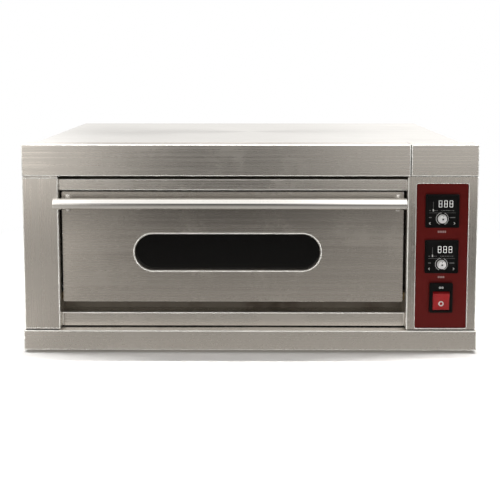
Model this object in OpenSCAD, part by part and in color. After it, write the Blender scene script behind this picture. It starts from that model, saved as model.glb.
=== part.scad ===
// Single-deck electric bakery oven with a drop-down door.
// X runs across the front from left to right, Y runs from the front to the back, Z is up.
// The origin is on the floor, under the middle of the whole object.
// "Recess" is the distance behind the canopy's front face, and most places in depth are given as one.

/* [Cabinet] */
// Overall width, over the plinth
cabinet_w = 1304; // [1080:1:1600]
// Depth from the canopy's front face to the back panel
cabinet_d = 880; // [730:1:1060]
// Height from the floor to the top panel
cabinet_h = 603; // [500:1:730]
// Thickness of the folded sheet
sheet = 1.5; // [1:0.1:2]
// How far the body's left side stands in from the plinth's end
body_inset_left = 30; // [20:1:60]
// How far the body's right side stands in from the plinth's end
body_inset_right = 41; // [20:1:60]
// Height of the rubber feet
foot_h = 8; // [6:0.5:20]
// Radius of a rubber foot
foot_r = 25; // [15:1:35]

/* [Front frame] */
// Depth of the canopy, the columns' outer walls and the plinth
frame_d = 78; // [70:1:90]
// How far the columns and the canopy stand in from the plinth's ends
frame_inset = 3; // [1:0.5:8]
// How far the plinth stands proud of the canopy
plinth_proud = 4; // [0:0.5:8]
// Height of the plinth
plinth_h = 58; // [45:1:80]
// Height of the canopy
canopy_h = 90; // [70:1:110]
// Open seam between the plinth and the columns
base_seam = 3; // [1:0.5:6]
// Open seam between the columns and the canopy
canopy_seam = 4; // [1:0.5:8]
// Open seam between the canopy and its cap
cap_seam = 1.5; // [0.5:0.5:4]
// How far the cap's left end stands right of the control column's left edge
cap_offset = 7; // [0:1:20]
// Width of the left column
column_w = 101.5; // [85:0.5:130]
// Width of the control column
control_w = 200; // [180:1:230]
// Recess of the columns' front faces
column_recess = 2; // [0:0.5:6]
// Height of the rail over the door
header_h = 32.5; // [20:0.5:40]
// Dark gap between that rail and the canopy
header_gap = 10; // [4:1:16]
// Recess of that rail
header_recess = 15; // [8:1:20]
// Height of the rail under the door
sill_h = 42.7; // [30:0.1:50]
// Recess of that rail
sill_recess = 37; // [30:1:50]

/* [Door] */
// Thickness of the door
door_t = 58; // [48:0.1:72]
// Recess of the door's front face
door_recess = 30; // [26:1:34]
// Gap between the door's back and the chamber's front plate, which the seal fills
door_gap_back = 7; // [6:0.5:12]
// Gap between the door and the left column
door_gap_left = 5.5; // [3:0.5:10]
// Gap between the door and the control column
door_gap_right = 7; // [3:0.5:10]
// Gap between the door and the rail over it
door_gap_top = 6; // [5:0.5:10]
// Gap between the door and the rail under it, which the door's lower edge swings through
door_gap_bottom = 33.8; // [28:0.1:45]
// Overall length of the window
window_w = 546; // [400:1:700]
// Overall height of the window
window_h = 115; // [80:1:125]
// How far the window's centre is left of the door's
window_shift = 15; // [0:1:40]
// How far the window's centre is below the door's
window_drop = 15.5; // [0:0.5:20]
// Width of the bright ring round the window
trim_w = 5; // [3:0.5:8]
// Recess of the window's outer pane behind the door's face
pane_recess = 18; // [10:1:24]
// Thickness of a window pane
pane_t = 4; // [3:0.5:6]

/* [Handle] */
// Radius of the handle bar
bar_r = 16; // [12:0.5:18]
// Wall of the handle bar
bar_wall = 2; // [1.5:0.5:3]
// Distance from the canopy's front plane to the bar's axis
bar_reach = 25; // [20:1:35]
// How far the bar's axis is below the door's top edge
bar_drop = 27; // [22:1:40]
// How far the bar's left end passes the door's left edge
bar_past_left = 13; // [0:1:20]
// How far the bar's right end stops short of the door's right edge
bar_short_right = 0.5; // [0:0.5:20]
// Distance from a door edge to a bracket's centre
bracket_inset = 17; // [12:1:60]
// Width of a bracket
bracket_w = 14; // [10:1:20]

/* [Hinge] */
// Radius of the door's stub pins
pin_r = 8; // [6:0.1:10]
// Running clearance of a pin in its bush
pin_clearance = 0.05; // [0.02:0.01:0.09]
// Height of the pins' axis above the door's lower edge
pivot_lift = 12; // [10:0.5:14]
// Distance of the pins' axis behind the door's front face
pivot_in = 28; // [24:0.5:30]
// Wall of a bush
bush_wall = 3; // [2:0.5:5]
// Length of a lever, from the pin to the spring's eye
lever_l = 40; // [34:1:44]
// Forward tilt of a lever while the door is shut
lever_tilt = 10; // [5:1:15]
// Angle between the shut and the open door
door_swing = 90; // [80:1:90]

/* [Controls] */
// Side of a square controller
controller_w = 96; // [92:1:100]
// How far a controller stands out of the fascia
controller_proud = 5; // [3:0.5:8]
// Least distance from the opening for the fascia to the column's ends
fascia_margin_z = 3.2; // [3:0.1:10]
// Width of the opening for the fascia
fascia_w = 148; // [130:1:165]
// Distance from the control column's left edge to that opening
fascia_inset = 25; // [22:1:30]
// How much further the opening's top edge is from the column's upper end
fascia_head = 14; // [8:1:24]
// Depth of the opening's bright lip
lip_d = 3.5; // [2:0.5:6]
// Radius of a dial's cap
dial_r = 11; // [8:0.5:14]
// How far a dial's axis is below its controller's centre
dial_drop = 22; // [18:0.5:30]
// Radius of a dial's spindle
spindle_r = 3; // [2.5:0.5:4]
// Width of the power switch's frame
switch_w = 66.5; // [60:0.5:75]
// Height of the power switch's frame
switch_h = 86; // [80:1:92]
// Width of the rocker
rocker_w = 47; // [40:1:52]
// Radius of the rocker's rounded ends about its pivot
rocker_r = 28; // [24:0.5:30]
// Angle between the rocker's two positions
rocker_throw = 16; // [12:1:18]

/* [Chamber] */
// Distance from a column to the chamber's side wall
chamber_jamb = 63; // [50:1:80]
// Height of the chamber's mouth above the door's lower edge
mouth_lift = 37.5; // [34:0.5:45]
// How far the mouth's upper edge is below the door's top edge
mouth_drop = 34.5; // [30:0.5:40]
// Height of the chamber floor below the mouth
sump_h = 40; // [38:1:50]
// Height of the chamber roof above the mouth
head_h = 15; // [14:1:24]
// Space behind the chamber
rear_space = 123; // [90:1:160]
// Thickness of the chamber's liner
liner = 2; // [1.5:0.5:3]
// Thickness of the baking stones
stone_t = 15; // [12:1:16]
// Radius of a heating element
element_r = 4; // [3:0.5:4.5]
// Number of hairpin elements in each level
element_count = 4; // [3:1:5]
// Width of one hairpin
hairpin_w = 80; // [60:1:90]

/* [Services] */
// Radius of the steam outlet
outlet_r = 20; // [15:0.5:30]
// How far the steam outlet stands out of the back panel
outlet_l = 34; // [20:1:60]
// Bore radius of the mains cable's gland
gland_bore_r = 9; // [6:0.5:10]
// Width of a louvre in the right side panel
louvre_w = 90; // [60:1:120]

/* [Hidden] */
$fn = 48;

half_w = cabinet_w / 2;
frame_half = half_w - frame_inset;
body_l = -half_w + body_inset_left;
body_r = half_w - body_inset_right;
open_l = -frame_half + column_w;
open_r = frame_half - control_w;
handle_out = bar_reach + bar_r;
// The canopy's front face, set so that the whole depth is centred on the origin
front_y = -(handle_out + cabinet_d + outlet_l) / 2 + handle_out;

plinth_top = foot_h + plinth_h;
column_z0 = plinth_top + base_seam;
canopy_z0 = cabinet_h - canopy_h;
column_z1 = canopy_z0 - canopy_seam;
header_z1 = canopy_z0 - header_gap;
header_z0 = header_z1 - header_h;
sill_z1 = plinth_top + sill_h;
cap_x = open_r + cap_offset + cap_seam;
tongue = 3;

door_l = open_l + door_gap_left;
door_r = open_r - door_gap_right;
door_z1 = header_z0 - door_gap_top;
door_z0 = sill_z1 + door_gap_bottom;
door_back = door_recess + door_t;
inner_panel_t = 2;
skin = 1.2;
window_x = (door_l + door_r) / 2 - window_shift;
window_z = (door_z0 + door_z1) / 2 - window_drop;
inner_pane_recess = door_back - inner_panel_t - 12;

bar_l = door_l - bar_past_left;
bar_end = door_r - bar_short_right;
bar_z = door_z1 - bar_drop;
bar_cap = 3;
flange_t = 3;
flange_up = 21;
flange_down = 31;
bracket_x = [door_l + bracket_inset, door_r - bracket_inset];
handle_screw_r = 3;
handle_screw_l = 10;
handle_screw_head_r = 5;
handle_screw_head_t = 3;
handle_screw_in = 6;
handle_screw_z = [bar_z + flange_up - handle_screw_in, bar_z - flange_down + handle_screw_in];
arm_half = 9;

pivot_z = door_z0 + pivot_lift;
pivot_recess = door_recess + pivot_in;
bush_r = pin_r + pin_clearance + bush_wall;
bush_flange = 3;
// Length of a pin inside the door
pin_hold = 38;
plate_t = 4;
lever_t = 6;
lever_w = 12;
lever_hub_r = pin_r + 6;
plate_inset = 4;
plate_w = 62;
lever_gap = 9;
eye_r = 3;
eye_play = 0.3;
spring_r = 9;
spring_wire = 2;
spring_pitch = 5;
spring_hook = 22;
stop_r = 5;
stop_gap = 0.4;
anchor_z = column_z1 - 30;
anchor_recess = 40;
// The spring's eye on the lever, as recess and height, while the door is shut
eye_recess = pivot_recess - lever_l * sin(lever_tilt);
eye_z = pivot_z + lever_l * cos(lever_tilt);
// The lever's direction while the door is open, and the post that its underside comes down to
open_tilt = lever_tilt + door_swing;
stop_along = 30;
stop_recess = pivot_recess - stop_along * sin(open_tilt) - (lever_w / 2 + stop_r + stop_gap) * cos(open_tilt);
stop_z = pivot_z + stop_along * cos(open_tilt) - (lever_w / 2 + stop_r + stop_gap) * sin(open_tilt);

fascia_x0 = open_r + fascia_inset;
fascia_x1 = fascia_x0 + fascia_w;
fascia_z0 = column_z0 + fascia_margin_z;
fascia_z1 = column_z1 - fascia_margin_z - fascia_head;
fascia_recess = column_recess + lip_d;
fascia_t = 2;
fascia_corner = 5;
controls_x = (fascia_x0 + fascia_x1) / 2;
// The controllers and the switch share out the height that they leave free
spare_z = fascia_z1 - fascia_z0 - 2 * controller_w - switch_h;
head_share = 0.216;
middle_share = 0.253;
switch_share = 0.203;
upper_z = fascia_z1 - spare_z * head_share - controller_w / 2;
lower_z = upper_z - controller_w - spare_z * middle_share;
switch_z = lower_z - controller_w / 2 - spare_z * switch_share - switch_h / 2;
controller_rim = 4;
controller_sink = 3;
case_w = controller_w - 6;
case_d = 62;
display_w = 46;
display_h = 26;
display_t = 1;
display_shift = 9.5;
display_lift = 21;
dial_len = 14;
spindle_len = 20;
dial_gap = 0.6;

rocker_drop = 8.5;
rocker_z = switch_z - rocker_drop;
rocker_pivot = fascia_recess + 4;
rocker_gap = 0.4;
rocker_back = 8;
rocker_pin_r = 2;
rocker_pin_l = 2.5;
switch_proud = 7;
switch_case_d = 42;
switch_wall = 5;

chamber_l = open_l + chamber_jamb;
chamber_r = open_r - chamber_jamb;
chamber_front_recess = door_back + door_gap_back;
chamber_front_t = 2;
chamber_r0 = chamber_front_recess + chamber_front_t;
// Depth of the columns' inner walls, which run past the chamber's front plate
jamb_d = chamber_r0 + 5;
chamber_r1 = cabinet_d - rear_space;
mouth_z0 = door_z0 + mouth_lift;
mouth_z1 = door_z1 - mouth_drop;
chamber_z0 = mouth_z0 - sump_h;
chamber_z1 = mouth_z1 + head_h;
stone_top = mouth_z0 - 2;
stone_z0 = stone_top - stone_t;
lower_element_z = chamber_z0 + element_r + 6;
upper_element_z = chamber_z1 - element_r - 12;
element_pitch = (chamber_r1 - chamber_r0) / element_count;
element_recess = [for (i = [0 : element_count - 1]) chamber_r0 + element_pitch * (i + 0.5)];
hairpin_x0 = chamber_l + 90;
partition_t = sheet;
partition_x = open_r;
terminal_x = partition_x + partition_t + 15;
support_x = [for (share = [0.25, 0.75]) chamber_l + (chamber_r - chamber_l) * share];
support_t = 3;
ledge_w = 18;
seal_w = 8;
seal_gap = 0.5;
seal_margin = 3;
lamp_r = 30;
lamp_l = 70;
lamp_wall = 4;
bulb_r = 14;
bulb_neck_r = 11;
lamp_recess = chamber_r0 + 140;
lamp_z = (stone_top + upper_element_z) / 2 + 25;
probe_r = 2;
probe_recess = (element_recess[0] + element_recess[1]) / 2;
probe_l = 80;
outlet_wall = 1.5;
outlet_x = (chamber_l + chamber_r) / 2 - 60;
outlet_z = chamber_z1 - outlet_r - 30;
outlet_flange = 12;

// Face of the partition that the electrics stand on
backing_x = partition_x + partition_t;
loom_r = 5;
loom_recess = 200;
contactor_recess = 330;
contactor_pitch = 60;
contactor_w = 45;
contactor_top = lower_z - loom_r - 5;
contactor_h = min(75, contactor_top - lower_element_z - element_r - 5);
contactor_d = 60;
contactor_nose = 20;
contactor_step = 6;
contactor_z = contactor_top - contactor_h;
terminal_recess = 560;
terminal_l = 100;
terminal_h = 34;
terminal_d = 28;
terminal_ways = 5;
wire_hole_r = 5;
terminal_z = foot_h + 60;

gland_r = gland_bore_r + 3.5;
gland_nut_r = gland_r + 5;
gland_out = 20;
gland_in = 12;
gland_x = body_r - 60;
gland_z = foot_h + 55;
screw_r = 2;
screw_head_r = 4;
screw_head_t = 2;
screw_l = 8;
louvre_rows = 7;
louvre_pitch = 22;
louvre_out = 7;
louvre_hood = 12;
louvre_slot = 5;
insulation_gap = 2;
pan_rim = 28;

// ---- Shared shapes ----

// A block between two places in X, in recess and in Z
module block(x0, x1, r0, r1, z0, z1)
    translate([min(x0, x1), front_y + r0, z0]) cube([abs(x1 - x0), r1 - r0, z1 - z0]);

// A flat outline in X and Z, carried back from recess r0 to recess r1
module slab(r0, r1) translate([0, front_y + r1, 0]) rotate([90, 0, 0]) linear_extrude(r1 - r0) children();

module rod_x(x0, x1, r, z, radius)
    translate([min(x0, x1), front_y + r, z]) rotate([0, 90, 0]) cylinder(h = abs(x1 - x0), r = radius);

module rod_y(x, r0, r1, z, radius)
    translate([x, front_y + r1, z]) rotate([90, 0, 0]) cylinder(h = r1 - r0, r = radius);

module rod_z(x, r, z0, z1, radius) translate([x, front_y + r, z0]) cylinder(h = z1 - z0, r = radius);

// A rectangle between two corners
module panel2d(x0, x1, z0, z1) translate([x0, z0]) square([x1 - x0, z1 - z0]);

// A rectangle with round corners
module rounded2d(x0, x1, z0, z1, radius) {
    panel2d(x0 + radius, x1 - radius, z0, z1);
    panel2d(x0, x1, z0 + radius, z1 - radius);
    for (x = [x0 + radius, x1 - radius], z = [z0 + radius, z1 - radius]) translate([x, z]) circle(radius);
}

// The window's outline, made smaller all round by inset
module window2d(inset) {
    radius = window_h / 2 - inset;
    run = window_w / 2 - window_h / 2;
    panel2d(window_x - run, window_x + run, window_z - radius, window_z + radius);
    for (side = [-1, 1]) translate([window_x + side * run, window_z]) circle(radius);
}

// A box of folded sheet, open at the back
module folded_box(x0, x1, r0, r1, z0, z1, t = sheet) difference() {
    block(x0, x1, r0, r1, z0, z1);
    block(x0 + t, x1 - t, r0 + t, r1 + 1, z0 + t, z1 - t);
}

// ---- Front frame ----

// The return that closes the back of the frame beside the body, between a free end and the body's side
module end_return(x_end, x_body, z0, z1) block(x_end, x_body, frame_d - sheet, frame_d, z0, z1);

module plinth() color("silver") {
    folded_box(-half_w, half_w, -plinth_proud, frame_d, foot_h, plinth_top);
    end_return(-half_w, body_l, foot_h, plinth_top);
    end_return(half_w, body_r, foot_h, plinth_top);
}

// A column folded from one sheet: front, outer wall, deeper inner wall and a return to the body's side.
// A tongue at each end stands in the seams to the plinth and the canopy.
module column_shell(x_out, x_in, x_body) {
    way = sign(x_in - x_out);
    front = column_recess;
    block(x_out, x_in, front, front + sheet, column_z0, column_z1);
    block(x_out, x_out + way * sheet, front, frame_d, column_z0, column_z1);
    end_return(x_out, x_body, column_z0, column_z1);
    difference() {
        block(x_in - way * sheet, x_in, front, jamb_d, column_z0, column_z1);
        rod_x(x_in - 5, x_in + 5, pivot_recess, pivot_z, bush_r);
    }
    for (ends = [[plinth_top, column_z0 + sheet], [column_z1 - sheet, canopy_z0]])
        block(x_out + way * tongue, x_in - way * sheet, front + tongue, frame_d - sheet, ends[0], ends[1]);
}

module left_column() color("silver") column_shell(-frame_half, open_l, body_l);

module right_column() color("silver") {
    difference() {
        column_shell(frame_half, open_r, body_r);
        slab(column_recess - 1, column_recess + sheet + 1) fascia_opening2d(0);
    }
    slab(column_recess, fascia_recess) difference() {
        fascia_opening2d(sheet);
        fascia_opening2d(0);
    }
}

module fascia_opening2d(grow)
    rounded2d(fascia_x0 - grow, fascia_x1 + grow, fascia_z0 - grow, fascia_z1 + grow, fascia_corner + grow);

module canopy() color("silver") {
    folded_box(-frame_half, cap_x - cap_seam, 0, frame_d, canopy_z0, cabinet_h);
    end_return(-frame_half, body_l, canopy_z0, cabinet_h);
}

module canopy_cap() color("silver") {
    folded_box(cap_x, frame_half, 0, frame_d, canopy_z0, cabinet_h);
    end_return(frame_half, body_r, canopy_z0, cabinet_h);
}

module header_rail() color("silver") difference() {
    block(open_l, open_r, header_recess, chamber_front_recess, header_z0, header_z1);
    block(open_l - 1, open_r + 1, header_recess + sheet, chamber_front_recess + 1, header_z0 + sheet,
        header_z1 - sheet);
}

module sill_rail() color("silver") difference() {
    block(open_l, open_r, sill_recess, chamber_front_recess, plinth_top, sill_z1);
    block(open_l - 1, open_r + 1, sill_recess + sheet, chamber_front_recess + 1, plinth_top - 1,
        sill_z1 - sheet);
}

// ---- Body ----

module base_pan() color("gray") difference() {
    block(body_l + sheet, body_r - sheet, frame_d, cabinet_d - sheet, foot_h, foot_h + pan_rim);
    block(body_l + 2 * sheet, body_r - 2 * sheet, frame_d + sheet, cabinet_d - 2 * sheet, foot_h + sheet,
        foot_h + 2 * pan_rim);
    foot_holes();
    panel_screws();
}

foot_places = [for (x = [body_l + 50, body_r - 50], r = [frame_d + 40, cabinet_d - 60]) [x, r]];
foot_bolt_r = 5;
foot_bolt_l = 14;

module foot_holes() for (p = foot_places) rod_z(p[0], p[1], foot_h - 1, foot_h + sheet + 1, foot_bolt_r);

module feet() color("dimgray") for (p = foot_places) {
    rod_z(p[0], p[1], 0, foot_h, foot_r);
    rod_z(p[0], p[1], foot_h - 1, foot_h + foot_bolt_l, foot_bolt_r);
}

module left_side_panel() color("silver") difference() {
    block(body_l, body_l + sheet, frame_d, cabinet_d - sheet, foot_h, cabinet_h - sheet);
    side_screws(body_l, -1);
}

// Places of the screws along the two long edges of a side panel
side_screw_places = [for (r = [frame_d + 40 : (cabinet_d - frame_d - 80) / 3 : cabinet_d - 39],
    z = [foot_h + 18, cabinet_h - 20]) [r, z]];

// Screws whose heads stand on a side panel's outer face; way is the outward direction
module side_screws(x, way) for (p = side_screw_places) {
    rod_x(x, x - way * screw_l, p[0], p[1], screw_r);
    rod_x(x, x + way * screw_head_t, p[0], p[1], screw_head_r);
}

louvre_r0 = cabinet_d - 90 - louvre_w * 2 - 30;
louvre_places = [for (column = [0, 1], row = [0 : louvre_rows - 1])
    [louvre_r0 + column * (louvre_w + 30), canopy_z0 - 60 - row * louvre_pitch]];

// Each louvre is a pressed hood that is open below, over a slot through the panel
module right_side_panel() color("silver") {
    difference() {
        block(body_r - sheet, body_r, frame_d, cabinet_d - sheet, foot_h, cabinet_h - sheet);
        side_screws(body_r, 1);
        for (p = louvre_places)
            block(body_r - 5, body_r + 5, p[0] + sheet, p[0] + louvre_w - sheet, p[1] - louvre_hood,
                p[1] - louvre_hood + louvre_slot);
    }
    for (p = louvre_places) difference() {
        block(body_r, body_r + louvre_out, p[0], p[0] + louvre_w, p[1] - louvre_hood, p[1]);
        block(body_r - 1, body_r + louvre_out - sheet, p[0] + sheet, p[0] + louvre_w - sheet,
            p[1] - louvre_hood - 1, p[1] - sheet);
    }
}

back_screw_places = [for (x = [body_l + 40 : (body_r - body_l - 80) / 4 : body_r - 39],
    z = [foot_h + 18, cabinet_h - 20]) [x, z]];

module back_screws() for (p = back_screw_places) {
    rod_y(p[0], cabinet_d - screw_l, cabinet_d, p[1], screw_r);
    rod_y(p[0], cabinet_d, cabinet_d + screw_head_t, p[1], screw_head_r);
}

module back_panel() color("silver") difference() {
    block(body_l, body_r, cabinet_d - sheet, cabinet_d, foot_h, cabinet_h - sheet);
    back_screws();
    rod_y(outlet_x, cabinet_d - 5, cabinet_d + 5, outlet_z, outlet_r);
    rod_y(gland_x, cabinet_d - 5, cabinet_d + 5, gland_z, gland_r);
}

module top_panel() color("gainsboro") block(body_l, body_r, frame_d, cabinet_d, cabinet_h - sheet, cabinet_h);

module panel_screws() color("lightgray") {
    side_screws(body_l, -1);
    side_screws(body_r, 1);
    back_screws();
}

// ---- Chamber ----

module chamber_front() color("dimgray") difference() {
    block(open_l, open_r, chamber_front_recess, chamber_r0, plinth_top, canopy_z0);
    block(chamber_l, chamber_r, chamber_front_recess - 1, chamber_r0 + 1, mouth_z0, mouth_z1);
}

module chamber_floor() color("gray")
    block(chamber_l - liner, chamber_r + liner, chamber_r0, chamber_r1 + liner, chamber_z0 - liner,
        chamber_z0);

module chamber_roof() color("gray")
    block(chamber_l - liner, chamber_r + liner, chamber_r0, chamber_r1 + liner, chamber_z1,
        chamber_z1 + liner);

module chamber_side_walls() color("gray") difference() {
    for (x = [chamber_l - liner, chamber_r])
        block(x, x + liner, chamber_r0, chamber_r1, chamber_z0, chamber_z1);
    rod_x(chamber_l - 5, chamber_l + 5, lamp_recess, lamp_z, lamp_r);
    element_legs();
    probe_rods();
}

module chamber_back_wall() color("gray") difference() {
    block(chamber_l - liner, chamber_r + liner, chamber_r1, chamber_r1 + liner, chamber_z0, chamber_z1);
    rod_y(outlet_x, chamber_r1 - 5, chamber_r1 + 5, outlet_z, outlet_r);
}

module side_insulation() color("khaki") difference() {
    for (slab_box = [[body_l + insulation_gap, chamber_l - liner, jamb_d + insulation_gap, chamber_r1],
        [chamber_r + liner, partition_x, jamb_d + insulation_gap, chamber_r1],
        [body_l + insulation_gap, partition_x, chamber_r1 + liner, cabinet_d - 2 * sheet]])
        block(slab_box[0], slab_box[1], slab_box[2], slab_box[3], chamber_z0, chamber_z1);
    rod_x(chamber_l - lamp_l - 4, chamber_l, lamp_recess, lamp_z, lamp_r);
    rod_y(outlet_x, chamber_r1, cabinet_d, outlet_z, outlet_r);
    element_legs();
    probe_rods();
}

module deck_insulation() color("khaki") {
    difference() {
        block(body_l + insulation_gap, partition_x, jamb_d + insulation_gap, cabinet_d - 2 * sheet,
            chamber_z1 + liner, cabinet_h - 2 * sheet);
        panel_screws();
    }
    block(body_l + 2 * sheet, partition_x, jamb_d + insulation_gap, cabinet_d - 2 * sheet,
        foot_h + pan_rim, chamber_z0 - liner);
}

// The straight legs of all the hairpins
module element_legs() for (z = [lower_element_z, upper_element_z], r = element_recess, side = [-1, 1])
    rod_x(hairpin_x0, terminal_x, r + side * hairpin_w / 2 * 0.5, z, element_r);

module hairpins(z) for (r = element_recess) {
    for (side = [-1, 1]) rod_x(hairpin_x0, terminal_x, r + side * hairpin_w / 4, z, element_r);
    translate([hairpin_x0, front_y + r, z]) rotate([0, 0, 90])
        rotate_extrude(angle = 180) translate([hairpin_w / 4, 0]) circle(element_r);
}

module upper_elements() color("darkslategray") hairpins(upper_element_z);

module lower_elements() color("darkslategray") hairpins(lower_element_z);

// Bars with a half-round seat for each leg
module element_supports() color("gray") difference() {
    for (x = support_x) {
        block(x - support_t / 2, x + support_t / 2, chamber_r0, chamber_r1, chamber_z0, lower_element_z);
        block(x - support_t / 2, x + support_t / 2, chamber_r0, chamber_r1, upper_element_z, chamber_z1);
    }
    element_legs();
}

// An angle along each side wall and a tee in the middle carry the stones
module stone_ledges() color("gray") {
    middle = (chamber_l + chamber_r) / 2;
    for (x = [[chamber_l, chamber_l + ledge_w], [middle - ledge_w / 2, middle + ledge_w / 2],
        [chamber_r - ledge_w, chamber_r]])
        block(x[0], x[1], chamber_r0, chamber_r1, stone_z0 - liner, stone_z0);
    difference() {
        for (x = [chamber_l, chamber_r - liner])
            block(x, x + liner, chamber_r0, chamber_r1, stone_z0 - 3 * liner, stone_z0 - liner);
        probe_rods();
    }
}

module baking_stones() color("tan") {
    middle = (chamber_l + chamber_r) / 2;
    for (x = [[chamber_l + 3, middle - 1], [middle + 1, chamber_r - 3]])
        block(x[0], x[1], chamber_r0 + 2, chamber_r1 - 2, stone_z0, stone_top);
}

module lamp_housing() color("silver") difference() {
    union() {
        rod_x(chamber_l - lamp_l, chamber_l, lamp_recess, lamp_z, lamp_r);
        rod_x(chamber_l, chamber_l + 2, lamp_recess, lamp_z, lamp_r + lamp_wall);
    }
    rod_x(chamber_l - lamp_l + 3, chamber_l + 3, lamp_recess, lamp_z, lamp_r - lamp_wall);
}

module lamp_bulb() color("ivory") {
    rod_x(chamber_l - lamp_l + 3, chamber_l - lamp_r, lamp_recess, lamp_z, bulb_neck_r);
    translate([chamber_l - lamp_r, front_y + lamp_recess, lamp_z]) sphere(bulb_r);
}

module lamp_lens() color("azure", 0.5) rod_x(chamber_l - 5, chamber_l, lamp_recess, lamp_z,
    lamp_r - lamp_wall);

module probe_rods() for (z = [chamber_z1 - 5, stone_z0 - 5])
    rod_x(chamber_r - probe_l, terminal_x, probe_recess, z, probe_r);

module temperature_probes() color("silver") probe_rods();

module steam_outlet() color("silver") difference() {
    union() {
        rod_y(outlet_x, chamber_r1, cabinet_d + outlet_l, outlet_z, outlet_r);
        rod_y(outlet_x, cabinet_d, cabinet_d + sheet, outlet_z, outlet_r + outlet_flange);
    }
    rod_y(outlet_x, chamber_r1 - 1, cabinet_d + outlet_l + 1, outlet_z, outlet_r - outlet_wall);
}

// ---- Electrics ----

module electrics_partition() color("gray") difference() {
    block(partition_x, backing_x, jamb_d, cabinet_d - 2 * sheet, foot_h + pan_rim, cabinet_h - 2 * sheet);
    element_legs();
    probe_rods();
}

// Two contactors side by side, each a case with a narrower nose
module contactors() color("whitesmoke") for (r = [contactor_recess, contactor_recess + contactor_pitch]) {
    nose_x = backing_x + contactor_d;
    block(backing_x, nose_x, r, r + contactor_w, contactor_z, contactor_z + contactor_h);
    block(nose_x, nose_x + contactor_nose, r + contactor_step, r + contactor_w - contactor_step,
        contactor_z + 2 * contactor_step, contactor_z + contactor_h - 2 * contactor_step);
}

module terminal_block() color("whitesmoke") difference() {
    block(backing_x, backing_x + terminal_d, terminal_recess, terminal_recess + terminal_l, terminal_z,
        terminal_z + terminal_h);
    for (way = [1 : terminal_ways])
        rod_x(backing_x + terminal_d / 2, backing_x + terminal_d + 1,
            terminal_recess + way * terminal_l / (terminal_ways + 1), terminal_z + terminal_h / 2,
            wire_hole_r);
}

// The loom runs from the terminal block up to the lower controller's height, and forward to it
module wiring_loom() color("black") {
    x = backing_x + terminal_d / 2;
    rear = terminal_recess + terminal_l / 2;
    rod_z(x, rear, terminal_z + terminal_h, lower_z, loom_r);
    rod_y(x, loom_recess, rear, lower_z, loom_r);
    rod_x(x, controls_x, loom_recess, lower_z, loom_r);
    rod_y(controls_x, fascia_recess + fascia_t + case_d, loom_recess, lower_z, loom_r);
    for (corner = [[x, rear], [x, loom_recess], [controls_x, loom_recess]])
        translate([corner[0], front_y + corner[1], lower_z]) sphere(loom_r);
}

module cable_gland() color("dimgray") difference() {
    union() {
        rod_y(gland_x, cabinet_d - gland_in, cabinet_d + gland_out, gland_z, gland_r);
        translate([gland_x, front_y + cabinet_d + 9, gland_z]) rotate([90, 0, 0])
            cylinder(h = 9, r = gland_nut_r, $fn = 6);
    }
    rod_y(gland_x, cabinet_d - gland_in - 1, cabinet_d + gland_out + 1, gland_z, gland_bore_r);
}

// ---- Controls ----

module control_fascia() color("darkred") slab(fascia_recess, fascia_recess + fascia_t) difference() {
    fascia_opening2d(sheet);
    for (z = [upper_z, lower_z]) panel2d(controls_x - case_w / 2, controls_x + case_w / 2, z - case_w / 2,
        z + case_w / 2);
    switch_body2d();
}

// A controller: a frame with a sunk face in front of the fascia, and its case behind
module controller(z) color("black") difference() {
    union() {
        slab(fascia_recess - controller_proud, fascia_recess)
            rounded2d(controls_x - controller_w / 2, controls_x + controller_w / 2, z - controller_w / 2,
                z + controller_w / 2, 3);
        block(controls_x - case_w / 2, controls_x + case_w / 2, fascia_recess,
            fascia_recess + fascia_t + case_d, z - case_w / 2, z + case_w / 2);
    }
    block(controls_x - controller_w / 2 + controller_rim, controls_x + controller_w / 2 - controller_rim,
        fascia_recess - controller_proud - 1, fascia_recess - controller_proud + controller_sink,
        z - controller_w / 2 + controller_rim, z + controller_w / 2 - controller_rim);
    rod_y(controls_x, 0, fascia_recess + spindle_len, z - dial_drop, spindle_r + pin_clearance);
}

module upper_controller() controller(upper_z);

module lower_controller() controller(lower_z);

face_recess = fascia_recess - controller_proud + controller_sink;

module display_windows() color("darkslategray") for (z = [upper_z, lower_z])
    block(controls_x + display_shift - display_w / 2, controls_x + display_shift + display_w / 2,
        face_recess - display_t, face_recess, z + display_lift - display_h / 2,
        z + display_lift + display_h / 2);

// A dial: skirt, cap and the spindle that turns in the controller
module dial(z) color("silver") {
    rod_y(controls_x, face_recess - dial_gap - 3, face_recess - dial_gap, z - dial_drop, dial_r + 2);
    rod_y(controls_x, face_recess - dial_len, face_recess - dial_gap - 3, z - dial_drop, dial_r);
    rod_y(controls_x, face_recess - dial_gap - 1, fascia_recess + spindle_len - 1, z - dial_drop, spindle_r);
}

module upper_dial() dial(upper_z);

module lower_dial() dial(lower_z);

switch_body_half = rocker_w / 2 + rocker_gap + switch_wall;

module switch_body2d() panel2d(controls_x - switch_body_half, controls_x + switch_body_half,
    rocker_z - rocker_r - rocker_gap - switch_wall + 1, rocker_z + rocker_r + rocker_gap + switch_wall - 1);

// The switch's frame and case, with the well and the bearings of the rocker
module switch_case() color("black") difference() {
    union() {
        slab(fascia_recess - switch_proud, fascia_recess)
            rounded2d(controls_x - switch_w / 2, controls_x + switch_w / 2, switch_z - switch_h / 2,
                switch_z + switch_h / 2, 3);
        slab(fascia_recess, fascia_recess + switch_case_d) switch_body2d();
    }
    block(controls_x - rocker_w / 2 - rocker_gap, controls_x + rocker_w / 2 + rocker_gap,
        fascia_recess - switch_proud - 1, rocker_pivot + rocker_r + 1, rocker_z - rocker_r - rocker_gap,
        rocker_z + rocker_r + rocker_gap);
    rod_x(controls_x - rocker_w / 2 - rocker_pin_l - 1, controls_x + rocker_w / 2 + rocker_pin_l + 1,
        rocker_pivot, rocker_z, rocker_pin_r + pin_clearance);
}

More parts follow.
